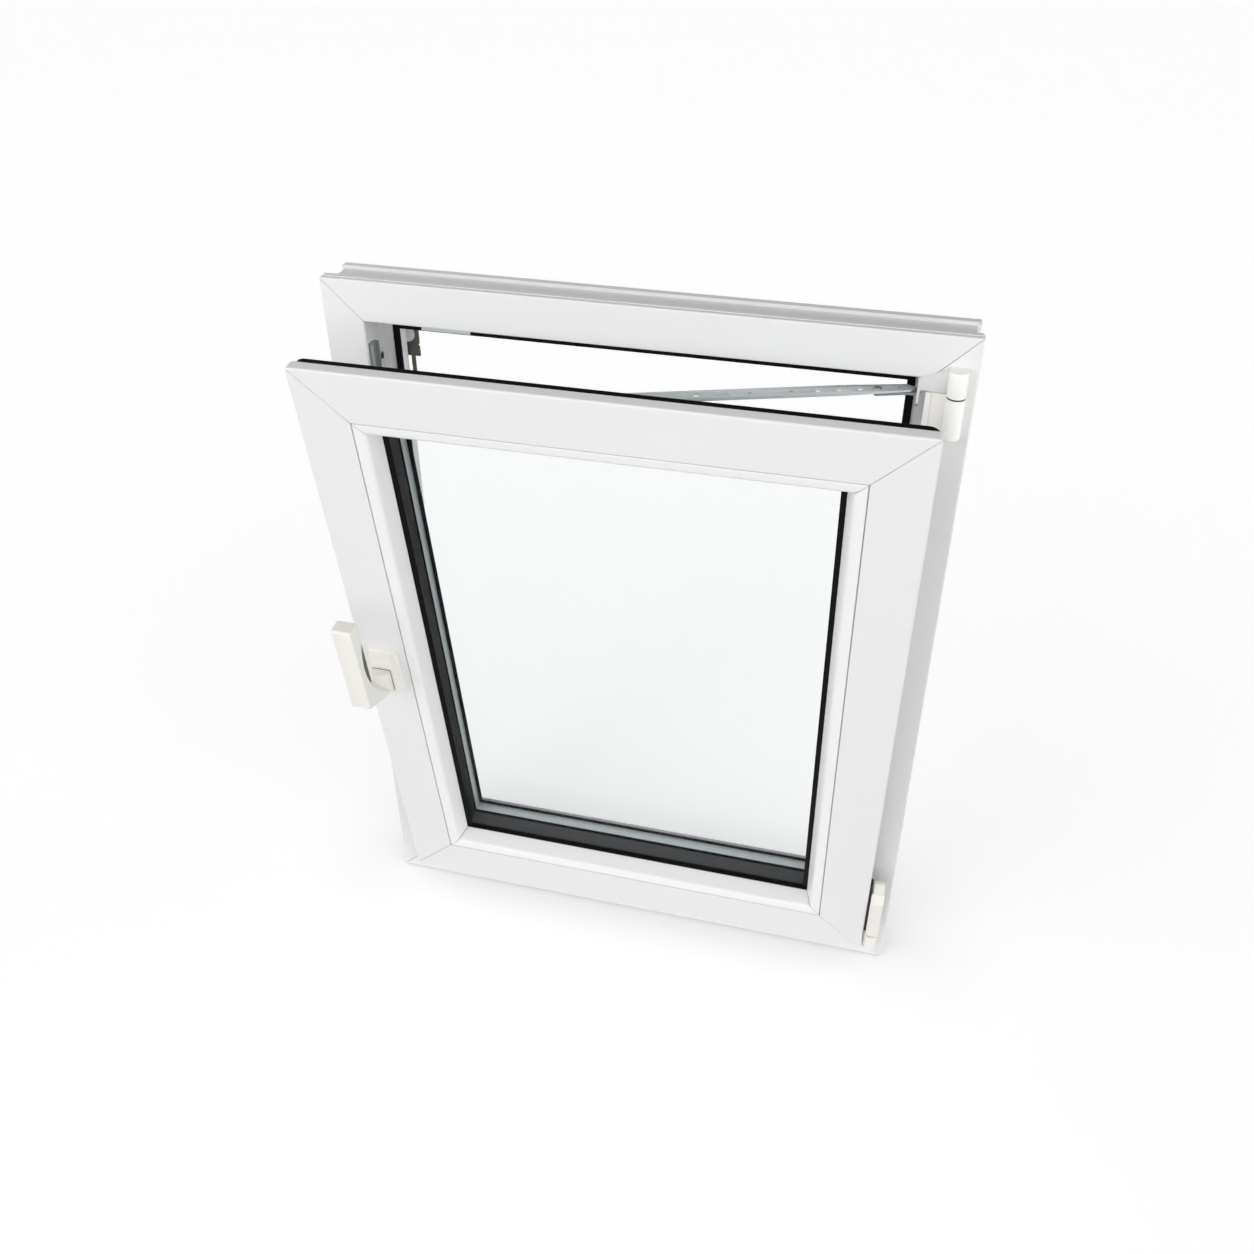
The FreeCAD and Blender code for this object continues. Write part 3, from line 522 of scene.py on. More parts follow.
def finished(node, material, width, segments=2, body="window"):
    """Piece that stands for one CAD node: its shape with rounded edges and a finish."""
    piece = link(node + "_finished", merged_copy(node, node + "_finished"))
    piece.data.materials.append(material)
    bevel(piece, width, segments)
    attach(piece, body)
    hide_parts(node)
    return piece


# %% [markdown]
# ## A hair of air beside the glass, and a second finish
# Where a solid touches a pane in the same plane, a ray that leaves the glass can land inside the
# solid and come back black. Moving the glass would change the unit, so the neighbour gets thinner by
# a hair. Some pieces also show two finishes, which is done face by face.

# %% Gap to the glass and second finish
def set_off(piece, distance):
    """Make a piece of the glass unit thinner by a hair at both faces, along the depth of the sash."""
    mesh = piece.data
    mesh.transform(tilt_move.inverted())
    depths = [spot.co.y for spot in mesh.vertices]
    middle, half = (max(depths) + min(depths)) / 2, (max(depths) - min(depths)) / 2
    for spot in mesh.vertices:
        spot.co.y = middle + (spot.co.y - middle) * (half - distance) / half
    mesh.transform(tilt_move)


def two_finishes(piece, second, chosen):
    """Give the chosen faces of a piece a second finish."""
    piece.data.materials.append(second)
    for face in piece.data.polygons:
        if chosen(face):
            face.material_index = 1


# %% [markdown]
# ## Frame, sash and beads: mitred bars by rule
# A window frame is made of one long extrusion. It is sawn at 45 degrees, and the four bars are welded
# at the corners, where a fine groove is left. That is a rule, so Geometry Nodes make it: the tree
# pushes a flat section out along X and slants both ends by its height. The same tree makes all
# twelve bars; only the section and the length change.

# %% Geometry tree for a mitred bar
LAYERS = 3
MIDDLE_LAYER = LAYERS / 2
CAP_BEYOND = MIDDLE_LAYER - 0.5
bar_tree, source, target = new_group(
    "mitred_bar", "GeometryNodeTree",
    [("Section", "NodeSocketGeometry", None), ("Half length", FLOAT, 0.35), ("Groove", FLOAT, 0.0005),
     ("Sink", FLOAT, 0.001), ("Corner", FLOAT, 0.001), ("Finish", "NodeSocketMaterial", None)],
    [("Bar", "NodeSocketGeometry")])


def sum_of(kind, first, second):
    """Math node on two sockets or numbers of the bar tree."""
    node = add(bar_tree, "ShaderNodeMath", operation=kind)
    for i, value in enumerate((first, second)):
        if isinstance(value, (int, float)):
            node.inputs[i].default_value = value
        else:
            bar_tree.links.new(value, node.inputs[i])
    return node.outputs[0]


last = None
for layer in range(LAYERS):
    push = add(bar_tree, "GeometryNodeExtrudeMesh", mode="FACES")
    push.inputs["Individual"].default_value = False
    if last is None:
        join(bar_tree, source, "Section", push, "Mesh")
    else:
        join(bar_tree, last, "Mesh", push, "Mesh")
        join(bar_tree, last, "Top", push, "Selection")
    last = push
start_cap = add(bar_tree, "GeometryNodeFlipFaces")
both = add(bar_tree, "GeometryNodeJoinGeometry")
weld = add(bar_tree, "GeometryNodeMergeByDistance", Distance=MERGE)
join(bar_tree, source, "Section", start_cap, "Mesh")
join(bar_tree, last, "Mesh", both, "Geometry")
join(bar_tree, start_cap, "Mesh", both, "Geometry")
join(bar_tree, both, "Geometry", weld, "Geometry")
parts = add(bar_tree, "ShaderNodeSeparateXYZ")
join(bar_tree, add(bar_tree, "GeometryNodeInputPosition"), "Position", parts, "Vector")
groove = source.outputs["Groove"]
from_middle = sum_of("SUBTRACT", parts.outputs["X"], MIDDLE_LAYER)
end_side = sum_of("SIGN", from_middle, 0)
is_cap = sum_of("GREATER_THAN", sum_of("ABSOLUTE", from_middle, 0), CAP_BEYOND)
mitre = sum_of("MAXIMUM", parts.outputs["Z"], source.outputs["Corner"])
shoulder = sum_of("MULTIPLY", sum_of("SUBTRACT", 1.0, is_cap), groove)
reach = sum_of("SUBTRACT", sum_of("SUBTRACT", source.outputs["Half length"], mitre), shoulder)
made = add(bar_tree, "ShaderNodeCombineXYZ")
bar_tree.links.new(sum_of("MULTIPLY", reach, end_side), made.inputs["X"])
join(bar_tree, parts, "Y", made, "Y")
join(bar_tree, parts, "Z", made, "Z")
inward = add(bar_tree, "GeometryNodeInputNamedAttribute", data_type="FLOAT_VECTOR")
inward.inputs["Name"].default_value = "inward"
sink = add(bar_tree, "ShaderNodeVectorMath", operation="SCALE")
join(bar_tree, inward, "Attribute", sink, 0)
bar_tree.links.new(sum_of("MULTIPLY", is_cap, source.outputs["Sink"]), sink.inputs["Scale"])
move = add(bar_tree, "GeometryNodeSetPosition")
join(bar_tree, weld, "Geometry", move, "Geometry")
join(bar_tree, made, "Vector", move, "Position")
join(bar_tree, sink, "Vector", move, "Offset")
real = add(bar_tree, "GeometryNodeRealizeInstances")
coat = add(bar_tree, "GeometryNodeSetMaterial")
join(bar_tree, move, "Geometry", real, "Geometry")
join(bar_tree, real, "Geometry", coat, "Geometry")
join(bar_tree, source, "Finish", coat, "Material")
join(bar_tree, coat, "Geometry", target, "Bar")
print("bar tree nodes", len(bar_tree.nodes))


# %% [markdown]
# ## From a rule to a mesh
# A live modifier would be lost when the model leaves Blender. So each tree runs once on a carrier
# object, its result is kept as a plain mesh, and the carrier goes. The inputs are found by name and
# set by their identifiers, before the carrier is evaluated for the first time.

# %% Run a tree and keep the plain mesh
def baked(base_mesh, tree, values, name):
    """Run a geometry tree on a mesh and return the result as a plain mesh."""
    carrier = link("carrier", base_mesh)
    modifier = carrier.modifiers.new("rule", "NODES")
    modifier.node_group = tree
    for item in tree.interface.items_tree:
        if item.in_out == "INPUT" and item.name in values:
            modifier[item.identifier] = values[item.name]
    bpy.context.view_layer.update()
    ready = carrier.evaluated_get(bpy.context.evaluated_depsgraph_get())
    mesh = bpy.data.meshes.new_from_object(ready)
    mesh.name = name
    carrier.modifiers.clear()
    bpy.data.objects.remove(carrier)
    return mesh


# %% [markdown]
# ## The sections of the profiles
# A section is the shape of the sawn end of a bar. It is written as corners, each with its depth into
# the wall, its height from the outer edge and, where the plastic is round, a radius. The ring also
# carries the inward direction at each point, by which the bar tree sinks its caps into the weld.

# %% From corners to a rounded ring
def rounded_section(points, steps=5):
    """Flat face in the YZ plane from (depth, height, radius) corners in millimetres."""
    count = len(points)
    ring = []
    for i, point in enumerate(points):
        here = Vector(point[:2])
        before = Vector(points[i - 1][:2]) - here
        after = Vector(points[(i + 1) % count][:2]) - here
        radius = point[2] if len(point) > 2 else 0
        if not radius:
            ring.append(here)
            continue
        half = before.angle(after) / 2
        reach = radius / math.tan(half)
        middle = here + (before.normalized() + after.normalized()).normalized() * radius / math.sin(half)
        start = here + before.normalized() * reach - middle
        end = here + after.normalized() * reach - middle
        for k in range(steps + 1):
            ring.append(middle + start.slerp(end, k / steps).normalized() * radius)
    mesh = bpy.data.meshes.new("section")
    mesh.from_pydata([(0, p.x * MM, p.y * MM) for p in ring], [], [list(range(len(ring)))])
    area = sum(ring[i - 1].cross(ring[i]) for i in range(len(ring)))
    if area < 0:
        mesh.flip_normals()
    sign = 1 if area > 0 else -1
    inward = mesh.attributes.new("inward", "FLOAT_VECTOR", "POINT")
    for i, point in enumerate(ring):
        first = (point - ring[i - 1]).normalized()
        second = (ring[(i + 1) % len(ring)] - point).normalized()
        both = Vector((-first.y - second.y, first.x + second.x)) * sign
        both /= 1 + first.dot(second)
        inward.data[i].vector = (0, both.x, both.y)
    return mesh


# %% [markdown]
# ## Frame, sash and bead in section
# The frame has a stop at its back, against which the sash closes. The sash has a lip toward the room
# that covers the gap, and the bead is clipped in beside the glass, with a round shoulder. Depths count
# into the wall from the middle of the front sealing rail, so those toward the room are negative.

# %% Sections of frame, sash and bead, in millimetres
WIDE, HIGH = 700, 900
FACE, BACK = -9, 51
STOP_FACE, STOP_EDGE = 35, 67
FACE_EDGE, REBATE = 47, 45
INSET, PROUD = 30, 17
SASH = FACE - PROUD
LIP_BACK, LAND, SASH_BACK, BODY_EDGE, STEP_EDGE = SASH + 14, SASH + 58, SASH + 78, 29, 43
BEAD_LINE, GLASS_LINE, GAP = 60, 80, 1.2
PIVOT_DEPTH, PIVOT_HIGH = FACE - 6, 32

frame_section = [
    (FACE, 0.5, 2), (FACE + 5, 0.5), (FACE + 5, 2), (FACE + 7, 2), (FACE + 7, 0, 0.4), (FACE + 14, 0, 0.6),
    (FACE + 15.5, 6.5), (BACK - 10, 6.5), (BACK - 10, 3, 0.8), (BACK, 3, 1.2), (BACK, STOP_EDGE, 1.2),
    (STOP_FACE, STOP_EDGE, 1.2), (STOP_FACE, FACE_EDGE + 1.2), (STOP_FACE - 4, FACE_EDGE + 1.2, 0.5),
    (STOP_FACE - 4, REBATE), (FACE + 4.5, REBATE), (FACE + 4.5, FACE_EDGE, 0.4), (FACE, FACE_EDGE, 2)]
sash_section = [
    (SASH, 0, 2.5), (LIP_BACK, 0, 1.2), (LIP_BACK, BODY_EDGE), (SASH + 22, BODY_EDGE, 0.4),
    (SASH + 22, BODY_EDGE + 2.5), (SASH + 38, BODY_EDGE + 2.5), (SASH + 38, BODY_EDGE, 0.4),
    (LAND, BODY_EDGE, 1.2), (LAND, STEP_EDGE), (SASH_BACK, STEP_EDGE, 1.2), (SASH_BACK, GLASS_LINE, 2.5),
    (SASH_BACK - 6, GLASS_LINE, 1.2), (SASH_BACK - 6, BEAD_LINE), (SASH + 4, BEAD_LINE),
    (SASH + 4, BEAD_LINE - GAP), (SASH, BEAD_LINE - GAP, 0.4)]
bead_section = [
    (SASH, BEAD_LINE, 0.9), (SASH + 22, BEAD_LINE), (SASH + 22, GLASS_LINE, 0.6),
    (SASH + 1.5, BEAD_LINE + 12, 6)]
print("section corners", len(frame_section), len(sash_section), len(bead_section))

# %% [markdown]
# ## Twelve bars in their places
# Each bar is made lying along X at the foot of the window. Turning it in steps of 90 degrees about
# the middle makes it a jamb or a head, and the bars of the sash are then tilted about the line of the
# bottom hinge. The weld groove is a little wider on the sash, where the photograph shows it best.

# %% Make and place the bars
SINK, CORNER = 2.0, 1.2
FRAME_GROOVE, SASH_GROOVE, BEAD_GROOVE = 0.9, 1.0, 0.6
TURNS = {"bottom": 0, "left": 90, "top": 180, "right": -90}
tilt_about = Vector((0, PIVOT_DEPTH, PIVOT_HIGH)) * MM
tilt_move = Matrix.Translation(tilt_about) @ Matrix.Rotation(TILT, 4, "X") @ Matrix.Translation(-tilt_about)


def bar(node, section, inset, where, material, tilted, groove):
    """One mitred bar in its place, for one CAD node."""
    across, along = (HIGH, WIDE) if where in ("top", "bottom") else (WIDE, HIGH)
    half = along / 2 - inset
    mesh = baked(rounded_section(section), bar_tree,
                 {"Half length": half * MM, "Groove": groove * MM, "Sink": SINK * MM, "Corner": CORNER * MM,
                  "Finish": material}, node)
    place = Matrix.Translation((0, 0, HIGH / 2 * MM)) @ Matrix.Rotation(math.radians(TURNS[where]), 4, "Y")
    place = place @ Matrix.Translation((0, 0, (inset - across / 2) * MM))
    mesh.transform(tilt_move @ place if tilted else place)
    piece = link(node + "_bar", mesh)
    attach(piece, "window")
    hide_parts(node)


SIDES = (("top", "frame_head", "sash_top_rail"), ("bottom", "frame_sill", "sash_bottom_rail"),
         ("left", "frame_left_jamb", "sash_left_stile"), ("right", "frame_right_jamb", "sash_right_stile"))
for where, frame_node, sash_node in SIDES:
    level = where in ("top", "bottom")
    frame_white, sash_white, bead_painted_white = ((white_across, sash_across, bead_painted_light_across) if level
                                           else (white_upright, sash_upright, bead_painted_light_upright))
    bar(frame_node, frame_section, 0, where, frame_white, False, FRAME_GROOVE)
    bar(sash_node, sash_section, INSET, where, sash_white, True, SASH_GROOVE)
    bar("bead_" + where, bead_section, INSET, where, bead_painted_white, True, BEAD_GROOVE)

# %% [markdown]
# ## Gaskets and the glass unit
# The gaskets and spacers keep the shape of their solids, with rounded edges. The foot of the outer
# gasket, seen through the glass, is painted grey as a sheen for the light that falls on it from above. Its
# faces run round the whole loop, so the loop is cut along a level line first, and the faces below it get
# the second finish. The panes stay as they were packed, because a bevel on glass would only draw false lines.

# %% Glass unit with its gaskets
HAIR_EDGE, FINE_EDGE, MOULDED_EDGE = 0.0002, 0.0003, 0.0006
CAP_EDGE, ROSE_EDGE, GRIP_EDGE = 0.0008, 0.0009, 0.0011
GASKET_BAND, GLASS_GAP = 17, 0.00015
SIDEWAYS = 0.7
for node in ("frame_gasket", "bead_gasket"):
    finished(node, rubber, FINE_EDGE)
outer_gasket = finished("outer_glazing_gasket", rubber, FINE_EDGE)
foot_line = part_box("outer_glazing_gasket")[0][2] + GASKET_BAND * MM
shape = bmesh.new()
shape.from_mesh(outer_gasket.data)
bmesh.ops.bisect_plane(shape, geom=[*shape.verts, *shape.edges, *shape.faces], plane_co=(0, 0, foot_line),
                       plane_no=(0, 0, 1))
shape.to_mesh(outer_gasket.data)
shape.free()
two_finishes(outer_gasket, rubber_painted_sheen, lambda face: face.center.z < foot_line)
finished("edge_seal", sealant, HAIR_EDGE)
light = finished("outer_spacer", spacer_metal, FINE_EDGE)
dark = finished("inner_spacer", dark_spacer, FINE_EDGE)
for piece in (light, dark, outer_gasket):
    set_off(piece, GLASS_GAP)
# Painted shade on the sideways faces of the inner spacer.
two_finishes(dark, spacer_painted_shade, lambda face: abs(face.normal.x) > SIDEWAYS)
for node in ("inner_pane", "middle_pane", "outer_pane"):
    nodes[node].data.materials.clear()
    nodes[node].data.materials.append(clear_glass)
print("foot line of the outer gasket", round(foot_line, 4))

# %% [markdown]
# ## Hardware, hinges, caps and handle
# Steel parts are stamped, so their edges are only just broken. Covers and caps are moulded, with
# rounder edges, and the grip is the roundest, because a hand holds it. The bracket's part inside the gap
# and the upper left striker carry painted shade, a darker copy of the zinc. The bracket's leaf on the face
# of the frame is paler than the part inside the gap, so it is told apart by where its faces lie.

# %% Rounded copies with their finishes
for node in ("faceplates", "locking_cams", "striker_sill", "striker_head", "stay_arm", "stay_guide",
             "stay_slide", "outer_catch_disc"):
    finished(node, steel, FINE_EDGE)
bracket = finished("stay_bracket", shaded_steel, FINE_EDGE)
LEAF_MARGIN = 1
leaf_from = WIDE / 2 - FACE_EDGE - LEAF_MARGIN
two_finishes(bracket, pale_leaf, lambda face: face.center.x > leaf_from * MM)
for node in ("striker_left_lower", "striker_right"):
    finished(node, steel_upright, FINE_EDGE)
finished("striker_left_upper", shaded_steel, FINE_EDGE)
for node in ("top_hinge_upper", "top_hinge_lower"):
    finished(node, knuckle_painted_light, MOULDED_EDGE, 3)
for node in ("bottom_hinge_bearing", "bottom_hinge_band"):
    finished(node, cover_plastic, MOULDED_EDGE, 3)
finished("bottom_hinge_shim", black_plastic, FINE_EDGE)
finished("outer_catch_plate", bronze, FINE_EDGE)
for node in ("drain_cap_left", "drain_cap_right"):
    finished(node, white_across, CAP_EDGE, 3)
finished("handle_rose", lacquer, ROSE_EDGE, 3)
finished("handle_lever", lacquer, GRIP_EDGE, 3, body="handle")

# %% [markdown]
# ## The gasket of the sash lip
# The black flap behind the lip is one rubber strip that is led round the corners in a small bend. The
# tree draws the path as a rectangle, rounds its corners and sweeps the section of the flap along it.

# %% Loop of rubber with bent corners
loop_tree, source, target = new_group(
    "bent_loop", "GeometryNodeTree",
    [("Section", "NodeSocketGeometry", None), ("Width", FLOAT, 0.64), ("Height", FLOAT, 0.84),
     ("Bend", FLOAT, 0.012), ("Finish", "NodeSocketMaterial", None)],
    [("Loop", "NodeSocketGeometry")])
path = add(loop_tree, "GeometryNodeCurvePrimitiveQuadrilateral")
join(loop_tree, source, "Width", path, "Width")
join(loop_tree, source, "Height", path, "Height")
rounding = add(loop_tree, "GeometryNodeFilletCurve", mode="POLY", Count=8)
join(loop_tree, path, "Curve", rounding, "Curve")
join(loop_tree, source, "Bend", rounding, "Radius")
outline = add(loop_tree, "GeometryNodeMeshToCurve")
join(loop_tree, source, "Section", outline, "Mesh")
sweep = add(loop_tree, "GeometryNodeCurveToMesh", Fill_Caps=True)
join(loop_tree, rounding, "Curve", sweep, "Curve")
join(loop_tree, outline, "Curve", sweep, "Profile Curve")
real = add(loop_tree, "GeometryNodeRealizeInstances")
coat = add(loop_tree, "GeometryNodeSetMaterial")
join(loop_tree, sweep, "Mesh", real, "Geometry")
join(loop_tree, real, "Geometry", coat, "Geometry")
join(loop_tree, source, "Finish", coat, "Material")
join(loop_tree, coat, "Geometry", target, "Loop")
print("loop tree nodes", len(loop_tree.nodes))

# %% [markdown]
# ## The flap pressed against the frame
# The flap sits flat against the back of the lip and reaches toward the frame. The loop is made
# lying down, turned upright and tilted with the sash. Where it would then pass through the frame, the
# rubber is squashed flat just before the face.

# %% Flap section and finished loop
def outward(mesh):
    """Turn the faces of a closed mesh outward."""
    shape = bmesh.new()
    shape.from_mesh(mesh)
    bmesh.ops.recalc_face_normals(shape, faces=shape.faces)
    shape.to_mesh(mesh)
    shape.free()


FLAP_OVER, FLAP_BEND, FLAP_DEEP, FLAP_HIGH, FLAP_REST = 0.8, 14, 7, 7.8, 0.1
flap = [(0, 2.8), (FLAP_DEEP - 2.2, 0.9), (FLAP_DEEP - 0.9, 0.9), (FLAP_DEEP - 0.1, 1.5),
        (FLAP_DEEP - 0.3, 2.5), (2, FLAP_HIGH), (0, FLAP_HIGH)]
flap_mesh = bpy.data.meshes.new("flap")
flap_mesh.from_pydata([(-high * MM, deep * MM, 0) for deep, high in flap],
                      [(i, (i + 1) % len(flap)) for i in range(len(flap))], [])
loop = baked(flap_mesh, loop_tree, {"Width": (WIDE - 2 * INSET + 2 * FLAP_OVER) * MM,
                                    "Height": (HIGH - 2 * INSET + 2 * FLAP_OVER) * MM,
                                    "Bend": FLAP_BEND * MM, "Finish": rubber}, "sash_gasket_loop")
QUARTER = Matrix.Rotation(math.radians(90), 4, "X")
loop.transform(Matrix.Translation((0, LIP_BACK * MM, HIGH / 2 * MM)) @ QUARTER)
loop.transform(tilt_move)
for spot in loop.vertices:
    spot.co.y = min(spot.co.y, (FACE - FLAP_REST) * MM)
outward(loop)
gasket = link("sash_gasket_loop", loop)
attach(gasket, "window")
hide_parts("sash_gasket")
print("gasket points", len(loop.vertices))

# %% [markdown]
# ## Screws and rivets
# Every rivet and screw on the hardware is the same small turned head; only its size and place change.
# The tree sets one head on each point of a small mesh, turned to the direction and scaled to the
# radius that the point carries. The slot is painted shade: a thin dark bar on top of the head.

# %% Tree that sets heads on points
HEAD_TALL, DOME_TALL, HEAD_SIDES = 0.3, 0.12, 20
SLOT_WIDE, SLOT_LONG = 0.28, 1.3
head_tree, source, target = new_group(
    "heads", "GeometryNodeTree",
    [("Spots", "NodeSocketGeometry", None),
     ("Slot width", FLOAT, SLOT_WIDE), ("Slot length", FLOAT, SLOT_LONG),
     ("Metal", "NodeSocketMaterial", None), ("Shade", "NodeSocketMaterial", None)],
    [("Heads", "NodeSocketGeometry")])
disc = add(head_tree, "GeometryNodeMeshCylinder", Vertices=HEAD_SIDES, Radius=1.0, Depth=HEAD_TALL)
dome = add(head_tree, "GeometryNodeMeshCone", Vertices=HEAD_SIDES, Radius_Top=0.7, Radius_Bottom=1.0,
           Depth=DOME_TALL)
dome_up = add(head_tree, "GeometryNodeTransform")
dome_up.inputs["Translation"].default_value = (0, 0, HEAD_TALL / 2)
slot_size = add(head_tree, "ShaderNodeCombineXYZ", Z=HEAD_TALL)
slot_bar = add(head_tree, "GeometryNodeMeshCube")
slot_up = add(head_tree, "GeometryNodeTransform")
slot_up.inputs["Translation"].default_value = (0, 0, HEAD_TALL / 2)
metal_part = add(head_tree, "GeometryNodeJoinGeometry")
metal_coat = add(head_tree, "GeometryNodeSetMaterial")
shade_coat = add(head_tree, "GeometryNodeSetMaterial")
whole = add(head_tree, "GeometryNodeJoinGeometry")
join(head_tree, dome, "Mesh", dome_up, "Geometry")
join(head_tree, disc, "Mesh", metal_part, "Geometry")
join(head_tree, dome_up, "Geometry", metal_part, "Geometry")
join(head_tree, metal_part, "Geometry", metal_coat, "Geometry")
join(head_tree, source, "Metal", metal_coat, "Material")
join(head_tree, source, "Slot length", slot_size, "X")
join(head_tree, source, "Slot width", slot_size, "Y")
join(head_tree, slot_size, "Vector", slot_bar, "Size")
join(head_tree, slot_bar, "Mesh", slot_up, "Geometry")
join(head_tree, slot_up, "Geometry", shade_coat, "Geometry")
join(head_tree, source, "Shade", shade_coat, "Material")
join(head_tree, metal_coat, "Geometry", whole, "Geometry")
join(head_tree, shade_coat, "Geometry", whole, "Geometry")
facing = add(head_tree, "GeometryNodeInputNamedAttribute", data_type="FLOAT_VECTOR")
facing.inputs["Name"].default_value = "facing"
radius = add(head_tree, "GeometryNodeInputNamedAttribute", data_type="FLOAT")
radius.inputs["Name"].default_value = "radius"
turn = add(head_tree, "FunctionNodeAlignRotationToVector", axis="Z")
join(head_tree, facing, "Attribute", turn, "Vector")
place = add(head_tree, "GeometryNodeInstanceOnPoints")
join(head_tree, source, "Spots", place, "Points")
join(head_tree, whole, "Geometry", place, "Instance")
join(head_tree, turn, "Rotation", place, "Rotation")
join(head_tree, radius, "Attribute", place, "Scale")
real = add(head_tree, "GeometryNodeRealizeInstances")
join(head_tree, place, "Instances", real, "Geometry")
join(head_tree, real, "Geometry", target, "Heads")


def heads(name, spots, slot_width=SLOT_WIDE, slot_length=SLOT_LONG):
    """Screw heads as one piece, from (place, facing, radius) in millimetres."""
    mesh = bpy.data.meshes.new("spots")
    mesh.from_pydata([Vector(at) * MM for at, _, _ in spots], [], [])
    mesh.attributes.new("facing", "FLOAT_VECTOR", "POINT")
    mesh.attributes.new("radius", "FLOAT", "POINT")
    for i, (_, way, wide) in enumerate(spots):
        mesh.attributes["facing"].data[i].vector = way
        mesh.attributes["radius"].data[i].value = wide * MM
    made = baked(mesh, head_tree, {"Slot width": slot_width, "Slot length": slot_length,
                                   "Metal": screw_steel, "Shade": black_plastic}, name)
    piece = link(name, made)
    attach(piece, "window")
    print(name, len(spots), "heads", len(made.polygons), "faces")


# %% [markdown]
# ## Where the heads sit
# The stay arm turns on one large pivot near the hinge, and small rivets hold its slide. Each striker
# is screwed into the groove of the frame by two screws. The places follow from the arm's two ends and
# from the frame's own sizes, so the heads lie on the metal without being fitted by eye.

# %% Heads along the stay arm and in the strikers
ARM_END = Vector((284, -3, 837.5))
ARM_START = Vector((-33, -120.37, 839.86))
ARM_THICK = 1.8
arm_along = (ARM_END - ARM_START).normalized()
arm_up = arm_along.cross(Vector((0, 0, 1)).cross(arm_along).normalized())
arm_top = arm_up * ARM_THICK
PIVOT_AT, PIVOT_R, PIVOT_SLOT, PIVOT_SLOT_LONG = 32, 4.3, 0.3, 1.4
RIVETS_AT, RIVET_R = (10, 120, 162), 1.6
heads("pivot_head", [(ARM_END - arm_along * PIVOT_AT + arm_top, arm_up, PIVOT_R)], PIVOT_SLOT,
      PIVOT_SLOT_LONG)
heads("arm_rivets", [(ARM_END - arm_along * at + arm_top, arm_up, RIVET_R) for at in RIVETS_AT])
CHANNEL, SCREW_OFF, SCREW_R, MID_DEPTH = 2, 20, 2.6, 4
LEFT_STRIKERS, RIGHT_STRIKERS, SILL_STRIKER, HEAD_STRIKER = (796, 250), (450,), -126, -210
side_x = WIDE / 2 - REBATE - CHANNEL
screws = []
for way, levels in ((-1, LEFT_STRIKERS), (1, RIGHT_STRIKERS)):
    for level_z in levels:
        for off in (-SCREW_OFF, SCREW_OFF):
            screws.append(((way * side_x, MID_DEPTH, level_z + off), (-way, 0, 0), SCREW_R))
for x, z, way in ((SILL_STRIKER, REBATE + CHANNEL, 1), (HEAD_STRIKER, HIGH - REBATE - CHANNEL, -1)):
    for off in (-SCREW_OFF, SCREW_OFF):
        screws.append(((x + off, MID_DEPTH, z), (0, 0, way), SCREW_R))
heads("striker_screws", screws)

# %% [markdown]
# ## The small spring under the upper striker
# In the gap on the handle side a thin black hook stands out from the frame. It is bent wire: the tree
# turns a row of points into a curve, rounds its bends and gives it a round section.

# %% Tree for bent wire
wire_tree, source, target = new_group(
    "bent_wire", "GeometryNodeTree",
    [("Points", "NodeSocketGeometry", None), ("Bend", FLOAT, 0.002), ("Radius", FLOAT, 0.0006),
     ("Finish", "NodeSocketMaterial", None)],
    [("Wire", "NodeSocketGeometry")])
path = add(wire_tree, "GeometryNodeMeshToCurve")
rounding = add(wire_tree, "GeometryNodeFilletCurve", mode="POLY", Count=5)
circle = add(wire_tree, "GeometryNodeCurvePrimitiveCircle", Resolution=10)
sweep = add(wire_tree, "GeometryNodeCurveToMesh", Fill_Caps=True)
real = add(wire_tree, "GeometryNodeRealizeInstances")
coat = add(wire_tree, "GeometryNodeSetMaterial")
join(wire_tree, source, "Points", path, "Mesh")
join(wire_tree, path, "Curve", rounding, "Curve")
join(wire_tree, source, "Bend", rounding, "Radius")
join(wire_tree, source, "Radius", circle, "Radius")
join(wire_tree, rounding, "Curve", sweep, "Curve")
join(wire_tree, circle, "Curve", sweep, "Profile Curve")
join(wire_tree, sweep, "Mesh", real, "Geometry")
join(wire_tree, real, "Geometry", coat, "Geometry")
join(wire_tree, source, "Finish", coat, "Material")
join(wire_tree, coat, "Geometry", target, "Wire")
print("wire tree nodes", len(wire_tree.nodes))

# %% [markdown]
# ## The hook
# Six points are enough for the bend of the wire, since the tree rounds what lies between them. The
# first one sits in the wall of the groove, so that the hook grows out of the frame.

# %% The hook itself
SPRING_R = 0.9
HOOK = ((-305.5, 14, 799), (-300, 14, 799), (-299, 16, 805), (-300, 20, 807), (-301, 23, 803),
        (-301, 22, 798))
hook_mesh = bpy.data.meshes.new("hook")
hook_mesh.from_pydata([Vector(p) * MM for p in HOOK], [(i, i + 1) for i in range(len(HOOK) - 1)], [])
wire = baked(hook_mesh, wire_tree, {"Radius": SPRING_R * MM, "Finish": black_plastic}, "striker_spring")
outward(wire)
spring = link("striker_spring", wire)
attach(spring, "window")
print("hook faces", len(wire.polygons))

# %% [markdown]
# ## Pressed plates for dark joints and painted shade
# Three flat pieces are left: a seam, and two dark pieces that paint shade, in the gap of the top hinge
# and in the scoop of the grip. Each is an outline with a thickness and a rounded rim, as pressed or moulded
# parts have. One function raises an outline into such a plate, turns it into its place and says which body it
# moves with.

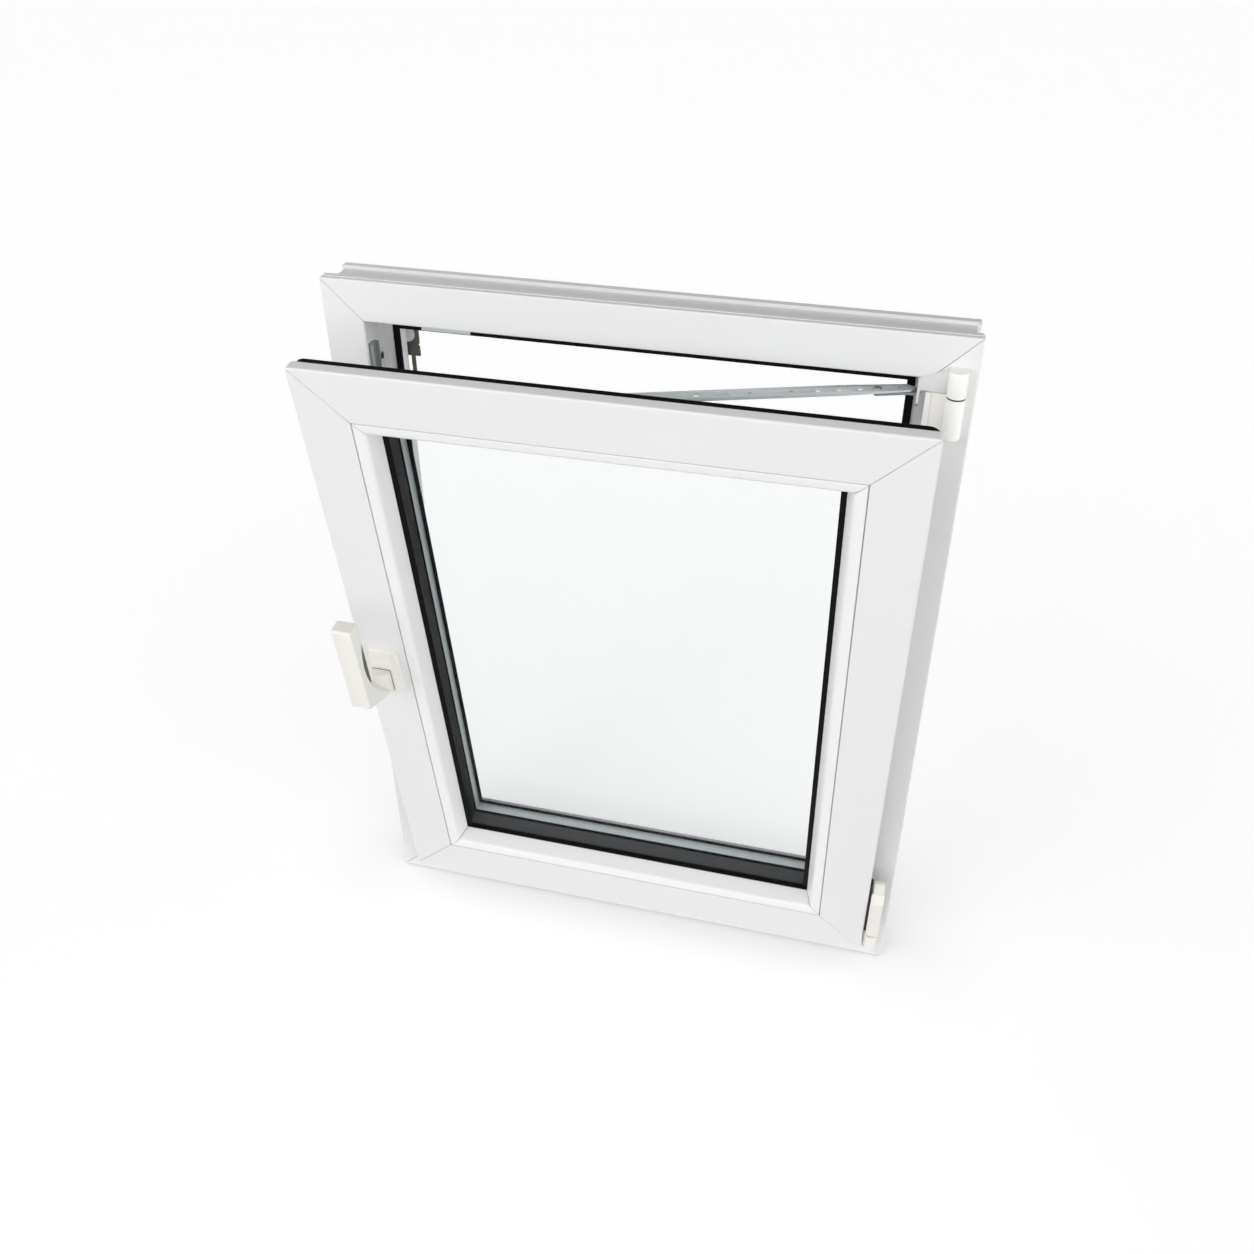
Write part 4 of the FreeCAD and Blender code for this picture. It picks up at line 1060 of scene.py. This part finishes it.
# %% Plate with a rounded rim from an outline
def pressed_piece(name, outline_points, low, high, turn, width, body, material):
    """Flat dark piece from an outline, thick from low to high, with a rounded rim."""
    shape = bmesh.new()
    face = shape.faces.new([shape.verts.new((x * MM, y * MM, low * MM)) for x, y in outline_points])
    raised = bmesh.ops.extrude_face_region(shape, geom=[face])
    tops = [item for item in raised["geom"] if isinstance(item, bmesh.types.BMVert)]
    bmesh.ops.translate(shape, verts=tops, vec=(0, 0, (high - low) * MM))
    bmesh.ops.recalc_face_normals(shape, faces=shape.faces)
    mesh = bpy.data.meshes.new(name)
    shape.to_mesh(mesh)
    shape.free()
    mesh.transform(turn)
    smooth(mesh)
    mesh.materials.append(material)
    piece = bevel(link(name, mesh), width)
    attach(piece, body)


# %% [markdown]
# ## Painted shade in the gap of the top hinge
# A black disc between the two knuckles paints the fine dark line of shade in the gap between them. Its
# outline is a circle, a little smaller than the knuckles.

# %% Painted gap shade
HINGE_X, HINGE_Y, HINGE_R = 330.5, -18.5, 9.5
GAP_SHADE_LOW, GAP_SHADE_HIGH, GAP_SHADE_IN, GAP_SHADE_SIDES = 839.5, 840.9, 0.35, 40
gap_shade_r = HINGE_R - GAP_SHADE_IN
gap_shade = [(HINGE_X + gap_shade_r * math.cos(t), HINGE_Y + gap_shade_r * math.sin(t))
          for t in (2 * math.pi * k / GAP_SHADE_SIDES for k in range(GAP_SHADE_SIDES))]
# Painted shade: a black disc that fills the gap between the knuckles.
pressed_piece("hinge_gap_shade", gap_shade, GAP_SHADE_LOW, GAP_SHADE_HIGH, Matrix.Identity(4), HAIR_EDGE, "window",
              black_plastic)
print("washer radius", round(gap_shade_r, 2), "mm")

# %% [markdown]
# ## Seam of the handle and painted shade in its grip
# A thin plate closes the gap where the lever leaves its rose, and a dark olive sheet in the scoop in
# the side of the grip is painted shade. Both belong to the lever and turn with it. They are drawn on the
# face of the upright sash and tilted with it, as the handle is.

# %% Seam and painted scoop shade
NECK_X, NECK_Z, NECK_HALF, NECK_LOW, NECK_HIGH = -290, 446, 11.5, 23, 11
SEAM_OVER, SEAM_THICK, NECK_SEAT = 0.25, 1.1, 12.45
SCOOP_SHADE_HALF, SCOOP_SHADE_LOW, SCOOP_SHADE_HIGH, SCOOP_SHADE_FROM, SCOOP_SHADE_TO = 10.5, 480, 547, 53.2, 56.4
SCOOP_SHADE_EDGE = 0.0008


def upright_outline(half, low, high):
    """Corners of a plate on the handle's middle line."""
    return [(NECK_X - half, low), (NECK_X + half, low), (NECK_X + half, high), (NECK_X - half, high)]


on_sash = tilt_move @ (Matrix.Translation((0, SASH * MM, 0)) @ QUARTER)
seam = upright_outline(NECK_HALF + SEAM_OVER, NECK_Z - NECK_LOW - SEAM_OVER, NECK_Z + NECK_HIGH + SEAM_OVER)
pressed_piece("neck_seam", seam, NECK_SEAT, NECK_SEAT + SEAM_THICK, on_sash, HAIR_EDGE, "handle",
              black_plastic)
# Painted shade: the olive sheet stands for the shade in the scoop.
scoop_shade = upright_outline(SCOOP_SHADE_HALF, SCOOP_SHADE_LOW, SCOOP_SHADE_HIGH)
pressed_piece("grip_scoop_shade", scoop_shade, SCOOP_SHADE_FROM, SCOOP_SHADE_TO, on_sash, SCOOP_SHADE_EDGE, "handle", scoop_painted_shade)
print("scoop_shade", SCOOP_SHADE_HIGH - SCOOP_SHADE_LOW, "mm long")
